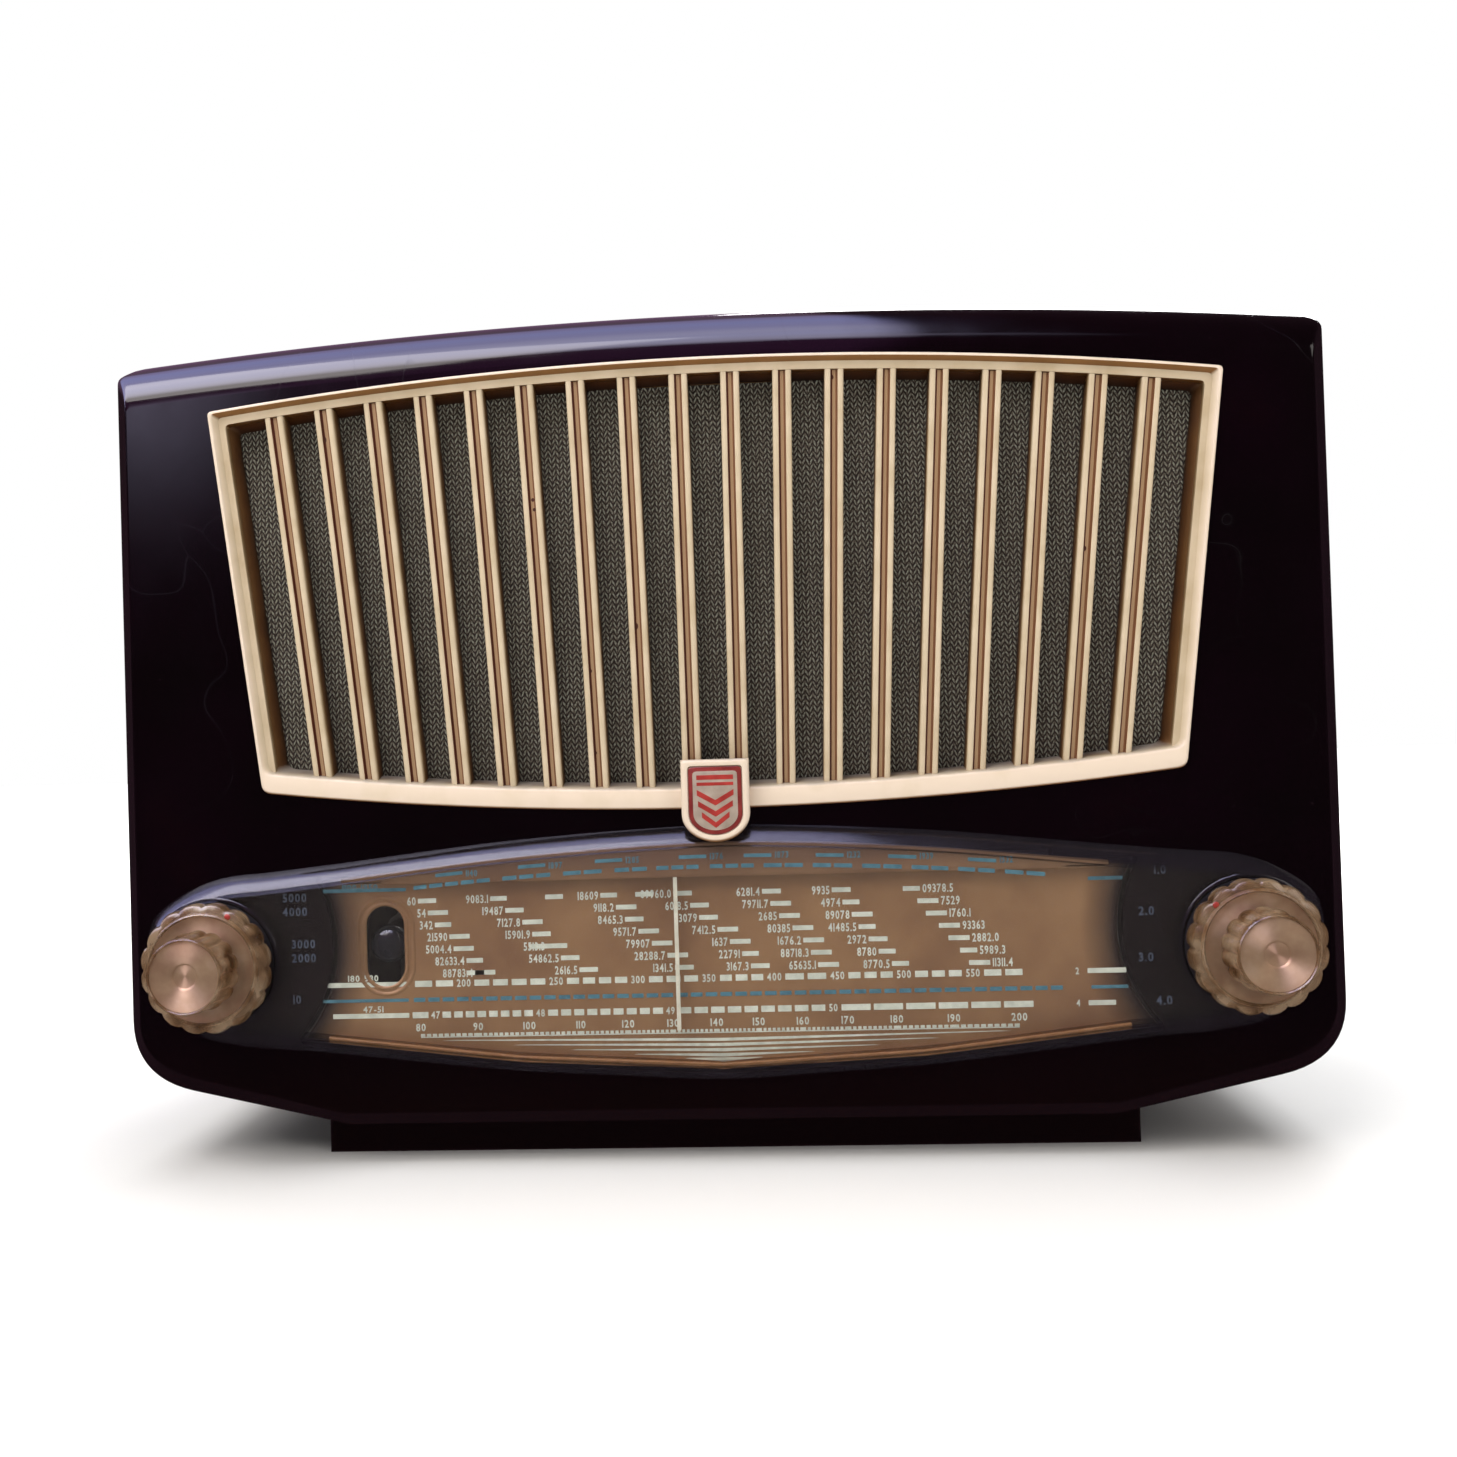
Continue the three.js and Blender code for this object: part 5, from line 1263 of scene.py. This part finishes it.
# %% Pointer and eye finish
coat(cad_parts["pointer"], POINTER_PAINT)
EYE_GLASS = make_plain("glass_eye_dark", "#23262c", "#111318", 0.08, patch_mm=12, bump=0.02)
eye = make_object("tuning_eye_dome", turned([(0.0, -89.5), (2.5, -89.3), (4.6, -88.6), (5.8, -87.2),
                                             (6.0, -85.5), (6.0, -52), (6.6, -50), (6.6, -40), (0.0, -40)],
                                            EYE_X, EYE_Z, 40), EYE_GLASS)
settle(eye, "cabinet", "lamp_glass", "tuning_eye")
# A black sleeve lines the slot, painted shade round the dark dome.
shade = make_object("eye_shade", loft([(racetrack(EYE_X, EYE_Z, 12.2 + 2 * g, 25.4 + 2 * g), y) for g,
                                       y in ((0, -90.1), (0.8, -90.1), (0.8, -88.4), (0, -88.4))], closed=True),
                    BLACK_SHADOW)
settle(shade, "cabinet", "dial_print")
print("eye faces:", len(eye.data.polygons))

# %% [markdown]
# ## The clear cover
# The cover is a shallow clear tray over the dial and both knob boards. Its rim is a soft quarter round,
# 6 mm wide, and mirrors the window, which draws the bright line over the dial. A closed shell with real
# inner walls keeps it a moulding and not a sheet of glass.

# %% Clear cover
COVER_EDGE = [(0, 26), (32, 27.6), (63, 29.5), (95, 32.9), (127, 36.5), (150, 38.6), (164, 41.5), (175, 49),
              (181, 59), (182, 68), (179.5, 79), (169.6, 86.8), (157, 91.6), (140, 93.3), (120, 95.3), (96, 98),
              (71.6, 100.6), (48, 102.4), (24, 103.7), (0, 104.4)]


def spline(points, steps):
    """A smooth closed line through points."""
    count, rows = len(points), []
    for i in range(count):
        p0, p1, p2, p3 = (np.array(points[(i + k) % count], float) for k in (-1, 0, 1, 2))
        for j in range(steps):
            t = j / steps
            rows.append(tuple(0.5 * (2 * p1 + (p2 - p0) * t + (2 * p0 - 5 * p1 + 4 * p2 - p3) * t * t
                                     + (3 * p1 - p0 - 3 * p2 + p3) * t ** 3)))
    return rows


cover_line = spline(COVER_EDGE + [(-x, z) for x, z in reversed(COVER_EDGE[1:-1])], 6)
COVER_PROFILE = [(6.6, -95.9), (4.0, -93.4), (3.0, -92.3), (0.0, -92.3), (0.0, -92.7), (0.3, -93.3),
                 (1.0, -94.5), (2.1, -95.8), (3.3, -96.85), (4.5, -97.6), (5.2, -97.92), (5.8, -98.0)]
cover = make_object("dial_cover_shell", loft([(inset(cover_line, d), y) for d, y in COVER_PROFILE]))
for knob_side in (-1, 1):
    combine(cover, prism(circle(knob_side * KNOB_X, AXIS_Z, 8), -99, -91))
coat(cover, CLEAR_FRONT, CLEAR_RIM)
soften(cover.data, 25)
for piece_face in cover.data.polygons:
    straight = abs(piece_face.normal.y) > 0.97
    piece_face.material_index = 0 if straight else 1
    piece_face.use_smooth = not straight
settle(cover, "cabinet", "clear", "dial_cover")
rings = [turned([(20.0, -97.9), (20.0, -98.25), (20.35, -98.5), (20.9, -98.45), (21.2, -98.2), (21.2, -97.9)],
                s * KNOB_X, AXIS_Z, 96, closed=True) for s in (-1, 1)]
recess_lips = make_object("cover_knob_lips", together(*rings), CLEAR_RIM)
settle(recess_lips, "cabinet", "clear")
# Black discs behind both knobs are painted shadow, the dark ring that each knob casts on the cover.
discs = [turned([(9.0, -98.3), (19.6, -98.3), (19.6, -98.15), (9.0, -98.15)], s * KNOB_X, AXIS_Z, 64,
                closed=True) for s in (-1, 1)]
knob_felts = make_object("knob_felts", together(*discs), BLACK_SHADOW)
settle(knob_felts, "cabinet", "rubber")
print("cover faces:", len(cover.data.polygons))

# %% [markdown]
# ## Knobs
# Each control is two knobs on one axis. A crown of sixteen round-topped flutes holds a wide spun disc,
# and a small fluted drum before it has its own disc with a dimple. The flutes follow a rule, the absolute
# value of a sine round the rim, so they are computed; the discs are turned profiles. Each knob's parts
# ride on that knob's body, so both pairs turn.

# %% Knob crowns and discs
def fluted(x, radius, flutes, depth, steps=8):
    """A rim of round lobes with sharp notches between them."""
    rows = []
    for i in range(flutes * steps):
        lobe = abs(math.sin(math.pi * i / steps))
        reach = radius - depth * (1 - lobe ** 0.6)
        angle = 2 * math.pi * i / (flutes * steps)
        rows.append((x + reach * math.cos(angle), AXIS_Z + reach * math.sin(angle)))
    return rows


# Rows of radius, flute depth and y for each clear rim.
CROWN_RIM = [(16.2, 0, -101.2), (19.0, 0.8, -101.0), (20.2, 1.2, -101.6), (20.2, 1.2, -105.0),
             (19.7, 1.0, -106.0), (18.6, 0.7, -106.6), (17.4, 0, -106.8), (17.1, 0, -107.5), (16.7, 0, -107.7),
             (16.3, 0, -107.4), (16.2, 0, -105.6)]
DRUM_RIM = [(3.4, 0, -108.6), (11.8, 0.5, -108.4), (12.4, 0.9, -109.0), (12.4, 0.9, -111.2),
            (11.9, 0.9, -112.2), (11.7, 0.8, -118.6), (11.5, 0.5, -120.6), (11.3, 0, -121.3), (11.0, 0, -121.6),
            (10.7, 0, -121.3), (10.6, 0, -119.6), (3.4, 0, -119.2)]
# Name, profile of (radius, y), steps, closed or not, finish and slot of each turned part.
CROWN_PARTS = [
    ("disc", [(5.4, -104.0), (5.4, -105.5), (9.0, -105.7), (12.8, -106.0), (15.2, -106.4), (16.0, -106.9),
              (16.3, -106.9), (16.3, -104.0)], 96, True, SPUN, "aluminium"),
    ("base", [(5.4, -100.4), (17.6, -100.4), (17.6, -101.4), (16.3, -103.9), (5.4, -103.9)], 64, True,
     BLACK_PHENOLIC, "black_phenolic")]
DRUM_PARTS = [
    ("disc", [(0.0, -119.9), (3.5, -120.0), (3.8, -120.35), (4.2, -120.5), (7.0, -120.66), (10.3, -120.85),
              (10.6, -120.85), (10.6, -119.3)], 96, False, SPUN, "aluminium"),
    ("dimple", [(0.0, -119.3), (2.6, -119.42), (3.6, -119.62), (3.6, -119.25), (0.0, -119.25)], 48, False,
     DIMPLE, "aluminium")]
INDEX_DOT = [(0.0, -105.9), (0.75, -106.0), (0.95, -106.7), (0.6, -106.95), (0.0, -107.0)]


def knob(body, x, flutes, rim_name, rim_rows, parts):
    """A fluted rim and its turned parts, riding on the knob's body."""
    rim = loft([(fluted(x, radius, flutes, depth), y) for radius, depth, y in rim_rows], closed=True)
    rim_piece = make_object(f"{body}_{rim_name}", rim, ACRYLIC, sharp=32)
    settle(rim_piece, body, "knob_plastic", f"{body}_knob")
    for part, profile, steps, closed, finish, slot in parts:
        settle(make_object(f"{body}_{part}", turned(profile, x, AXIS_Z, steps, closed), finish), body, slot)


for small, large, x, index_angle in (("volume", "tone", -KNOB_X, 62.7), ("tuning", "band", KNOB_X, 134.4)):
    knob(small, x, 14, "drum", DRUM_RIM, DRUM_PARTS)
    knob(large, x, 16, "crown", CROWN_RIM, CROWN_PARTS)
    turn = math.radians(index_angle)
    dot = turned(INDEX_DOT, x + 17.9 * math.cos(turn), AXIS_Z + 17.9 * math.sin(turn), 16)
    settle(make_object(f"{large}_index", dot, INDEX_RED), large, "badge")
print("knobs done")

# %% [markdown]
# ## Back and screws
# The hardboard back is pierced with rows of slots, and its solid already has them, so it keeps its shape.
# Its four screws are domed with a slot. They are alike, so a node tree puts one screw at each place.

# %% Back screws with Geometry Nodes
def slotted_head():
    """One domed head with its slot, at the origin, facing +Y."""
    dome = [(0.0, 88.1), (4.0, 88.1), (4.0, 88.6), (3.6, 89.2), (2.6, 89.75), (1.2, 89.96), (0.0, 90.0)]
    head = make_object("head", turned(dome, 0, 0, 28))
    combine(head, make_object("slot", loft([([(-5, -0.45), (5, -0.45), (5, 0.45), (-5, 0.45)],
                                             y) for y in (89.2, 91)])))
    soften(head.data, 30)
    return head


def screw_tree():
    tree, given, out = start_tree("four_screws", [
        ("Head", "NodeSocketObject"), ("Half width", "NodeSocketFloat"), ("Low", "NodeSocketFloat"),
        ("High", "NodeSocketFloat"), ("Turn", "NodeSocketFloat"), ("Material", "NodeSocketMaterial")])
    width = add(tree, "Math MULTIPLY", given["Half width"], 2.0)
    tall = add(tree, "Math SUBTRACT", given["High"], given["Low"])
    middle = add(tree, "Math MULTIPLY_ADD", tall, 0.5, given["Low"])
    grid = add(tree, "MeshGrid", Size_X=width, Size_Y=tall, Vertices_X=2, Vertices_Y=2)
    lift = add(tree, "CombineXYZ", Z=middle)
    stood = add(tree, "Transform", Geometry=grid, Rotation=(math.pi / 2, 0, 0), Translation=lift)
    head = add(tree, "ObjectInfo", transform_space="ORIGINAL", Object=given["Head"])
    index = add(tree, "InputIndex")
    angle = add(tree, "Math MULTIPLY", index, given["Turn"])
    spin = add(tree, "CombineXYZ", Y=angle)
    heads = add(tree, "InstanceOnPoints", Points=stood, Instance=head.outputs["Geometry"], Rotation=spin)
    real = add(tree, "RealizeInstances", Geometry=heads)
    coated = add(tree, "SetMaterial", Geometry=real, Material=given["Material"])
    feed(out, Geometry=coated)
    return tree


head_model = slotted_head()
screws = grow("back_screw_heads", screw_tree(), {
    "Head": head_model, "Half width": 0.1795, "Low": 0.052, "High": 0.238, "Turn": 0.7, "Material": STEEL})
bpy.data.objects.remove(head_model)
settle(screws, "cabinet", "steel", *[f"back_screw_{i}" for i in (1, 2, 3, 4)])
print("screw heads:", len(screws.data.polygons), "faces")

# %% [markdown]
# ## Finishes for the inner parts
# Everything behind the front keeps its solid: the chassis, valves, cans, transformers, speaker, drive and
# shafts. Each gets the finish of the real thing; on the real valves the glass is silvered inside at its top,
# and here it gets one silvered glass finish all over.

# %% Finish every solid that still shows
FINISHES = {STEEL: ["dial_bracket", "pointer_rail", "chassis", "eye_clamp", "cord_spring", "chassis_bolt_1",
                    "chassis_bolt_2", "chassis_bolt_3", "chassis_bolt_4"],
            BRASS: ["bush_left", "bush_right", "tone_shaft", "band_shaft", "volume_shaft", "tuning_shaft"],
            ALUMINIUM: ["drive_drum", "tuning_capacitor", "capacitor_rotor", "if_can_first", "if_can_second",
                        "smoothing_capacitor", "volume_control"],
            PHENOLIC: ["cord_pulley_left", "cord_pulley_right", "tone_switch", "band_switch", "terminal_strip"],
            SILVERED_GLASS: ["dial_lamp_left", "dial_lamp_right", "mixer_valve", "if_valve", "audio_valve",
                             "output_valve", "rectifier_valve"], IRON: ["speaker_basket", "mains_transformer",
    "output_transformer"], MAGNET: ["speaker_magnet"], PAPER: ["speaker_cone"], BOARD: ["baffle_board"],
            THREAD: ["drive_cord"], RUBBER: ["inlet_grommet"], BLACK_PHENOLIC: ["voltage_selector"],
            FIBREBOARD: ["back_cover"]}
for material, names in FINISHES.items():
    for node_name in names:
        coat(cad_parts[node_name], material)
unfinished = [n for n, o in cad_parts.items()
              if not o.hide_render and n != "pointer" and not any(n in names for names in FINISHES.values())]
print("solids left without a finish:", unfinished)

# %% [markdown]
# ## Floor and light
# The radio stands on a plain pale floor. The light is a soft studio: a warm key from high on the left, a
# weak fill from the right, and an even glow all round. The lilac band on the crown is a window overhead
# on the left, painted into the world by direction for mirror rays only, so it shows in polished parts and
# tints nothing else, while the camera itself sees plain white.

# %% Floor
FLOOR_PAINT = make_plain("floor_matt_white", "#f7f7f7", "#f2f2f2", 0.9, patch_mm=400, bump=0.0,
                         Specular_IOR_Level=0.1)
# Away from the radio the floor glows a little, as a lit sweep does, so that no horizon shows.
floor_tree = FLOOR_PAINT.node_tree
floor_place = add(floor_tree, "TexCoord").outputs["Object"]
distance = add(floor_tree, "VectorMath LENGTH", floor_place)
glow = add(floor_tree, "MapRange", Value=distance, From_Min=0.4, From_Max=1.1)
floor_shader = floor_tree.nodes["Principled BSDF"]
floor_shader.inputs["Emission Color"].default_value = (1, 1, 1, 1)
feed(floor_shader, Emission_Strength=glow)
floor = make_object("floor", ([(-6000, -5000, 0), (6000, -5000, 0), (6000, 9000, 0), (-6000, 9000, 0)],
                              [(0, 1, 2, 3)]), FLOOR_PAINT)
floor.visible_glossy = False


def area_light(name, place, target, width, height, watts, code, glossy=True):
    data = bpy.data.lights.new(name, "AREA")
    data.shape, data.size, data.size_y = "RECTANGLE", width, height
    data.energy, data.color = watts, colour(code)[:3]
    lamp = bpy.data.objects.new(name, data)
    towards = (Vector(target) - Vector(place)).to_track_quat("-Z", "Y")
    lamp.matrix_world = Matrix.Translation(Vector(place)) @ towards.to_matrix().to_4x4()
    lamp.visible_glossy = glossy
    scene.collection.objects.link(lamp)
    return lamp


area_light("key", (-0.95, -1.2, 1.7), (0, 0, 0.15), 1.4, 1.4, 28, "#fffaf4")
area_light("fill", (1.5, -1.4, 0.9), (0, 0, 0.12), 0.9, 0.9, 5, "#fff8f4")
area_light("back_fill", (0.6, 2.0, 1.4), (0, 0, 0.12), 1.2, 1.2, 36, "#ffffff")
area_light("floor_wash", (0.0, 0.3, 2.6), (0, 0.3, 0), 3.0, 3.0, 70, "#ffffff", glossy=False)


def make_world():
    world = bpy.data.worlds.new("studio")
    world.use_nodes = True
    tree = world.node_tree
    tree.nodes.clear()
    way = add(tree, "TexCoord").outputs["Generated"]
    split = add(tree, "SeparateXYZ", Vector=way)
    up = add(tree, "Math MAXIMUM", split.outputs["Z"], 0.02)
    back = add(tree, "Math DIVIDE", split.outputs["Y"], up)
    side = add(tree, "Math DIVIDE", split.outputs["X"], up)
    # The window overhead: from a little before the radio to far behind it, and left of a slanting edge.
    place_back = add(tree, "Math MULTIPLY_ADD", back, 0.25, 0.36)
    depth_band = add(tree, "ValToRGB", stops=[(0.0, (0.04, 0.013, 0.04, 1)), (0.08, (0.04, 0.013, 0.04, 1)),
                                              (0.125, (0.62, 0.58, 0.82, 1)), (0.215, (0.64, 0.63, 1.0, 1)),
                                              (0.277, (0.6, 0.58, 0.89, 1)), (0.338, (0.38, 0.37, 0.67, 1)),
                                              (0.4, (0.27, 0.28, 0.54, 1)), (0.46, (0.18, 0.16, 0.3, 1)),
                                              (0.51, (0.05, 0.035, 0.05, 1)), (0.62, (0.036, 0.02, 0.038, 1)),
                                              (1.0, (0.03, 0.02, 0.03, 1))], Fac=place_back)
    streaks = add(tree, "TexNoise", Vector=add(tree, "CombineXYZ", X=add(tree, "Math MULTIPLY", side, 0.35),
                                               Y=add(tree, "Math MULTIPLY", back, 7.0)), Scale=2.2, Detail=3.0)
    inside = add(tree, "Math MULTIPLY_ADD", add(tree, "Math MULTIPLY_ADD", back, 0.05, side), -45.0, 5.2,
                 use_clamp=True)
    # Below the window's slanting edge a thin pale sill runs on to the right.
    sill = add(tree, "Math SUBTRACT", 1.0, add(tree, "Math MULTIPLY",
                                               add(tree, "Math ABSOLUTE",
                                                   add(tree, "Math ADD", place_back, -0.135)), 38.0),
               use_clamp=True)
    sill_end = add(tree, "Math MULTIPLY_ADD", side, -4.0, 1.5, use_clamp=True)
    inside = add(tree, "Math MAXIMUM", inside, add(tree, "Math MULTIPLY",
                                                   add(tree, "Math MULTIPLY", sill, sill_end), 0.35))
    above = add(tree, "Math GREATER_THAN", split.outputs["Z"], 0.25)
    power = add(tree, "Math MULTIPLY", add(tree, "Math MULTIPLY", inside, above),
                add(tree, "Math MULTIPLY_ADD", streaks, 3.4, 5.8))
    window = add(tree, "VectorMath SCALE", depth_band, Scale=power)
    # A pale curtain low on the front left leaves a soft haze on the cabinet's upper left corner.
    front = add(tree, "Math MAXIMUM", add(tree, "Math MULTIPLY", split.outputs["Y"], -1.0), 0.05)
    curtain_x = add(tree, "Math MULTIPLY_ADD", add(tree, "Math DIVIDE", split.outputs["X"], front), 16.0, 7.0)
    curtain_z = add(tree, "Math MULTIPLY_ADD", add(tree, "Math DIVIDE", split.outputs["Z"], front), 13.0, -3.8)
    spread = add(tree, "Math ADD", add(tree, "Math MULTIPLY", curtain_x, curtain_x),
                 add(tree, "Math MULTIPLY", curtain_z, curtain_z))
    curtain = add(tree, "Math MULTIPLY", add(tree, "Math EXPONENT", add(tree, "Math MULTIPLY", spread, -1.0)),
                  2.6)
    haze = add(tree, "VectorMath SCALE", (0.85, 0.78, 1.1), Scale=curtain)
    bright = add(tree, "VectorMath ADD", window, haze)
    total = add(tree, "VectorMath ADD", bright, (0.05, 0.025, 0.035))
    path = add(tree, "LightPath").outputs
    seen = add(tree, "Background", Color=(1, 1, 1, 1), Strength=1.0)
    mirrored = add(tree, "Background", Color=total, Strength=1.0)
    around = add(tree, "Background", Color=(1.0, 0.97, 0.93, 1), Strength=0.3)
    lit = add(tree, "MixShader", path["Is Glossy Ray"], around, mirrored)
    mixed = add(tree, "MixShader", path["Is Camera Ray"], lit, seen)
    output = add(tree, "OutputWorld")
    feed(output, Surface=mixed)
    return world


scene.world = make_world()
scene.view_settings.view_transform = "Standard"
scene.view_settings.look = "None"

# %% [markdown]
# ## The end
# The dressed model has to fill the same box as the solids. Bringing the scene up to date ends the lesson.

# %% Finish
bpy.context.view_layer.update()
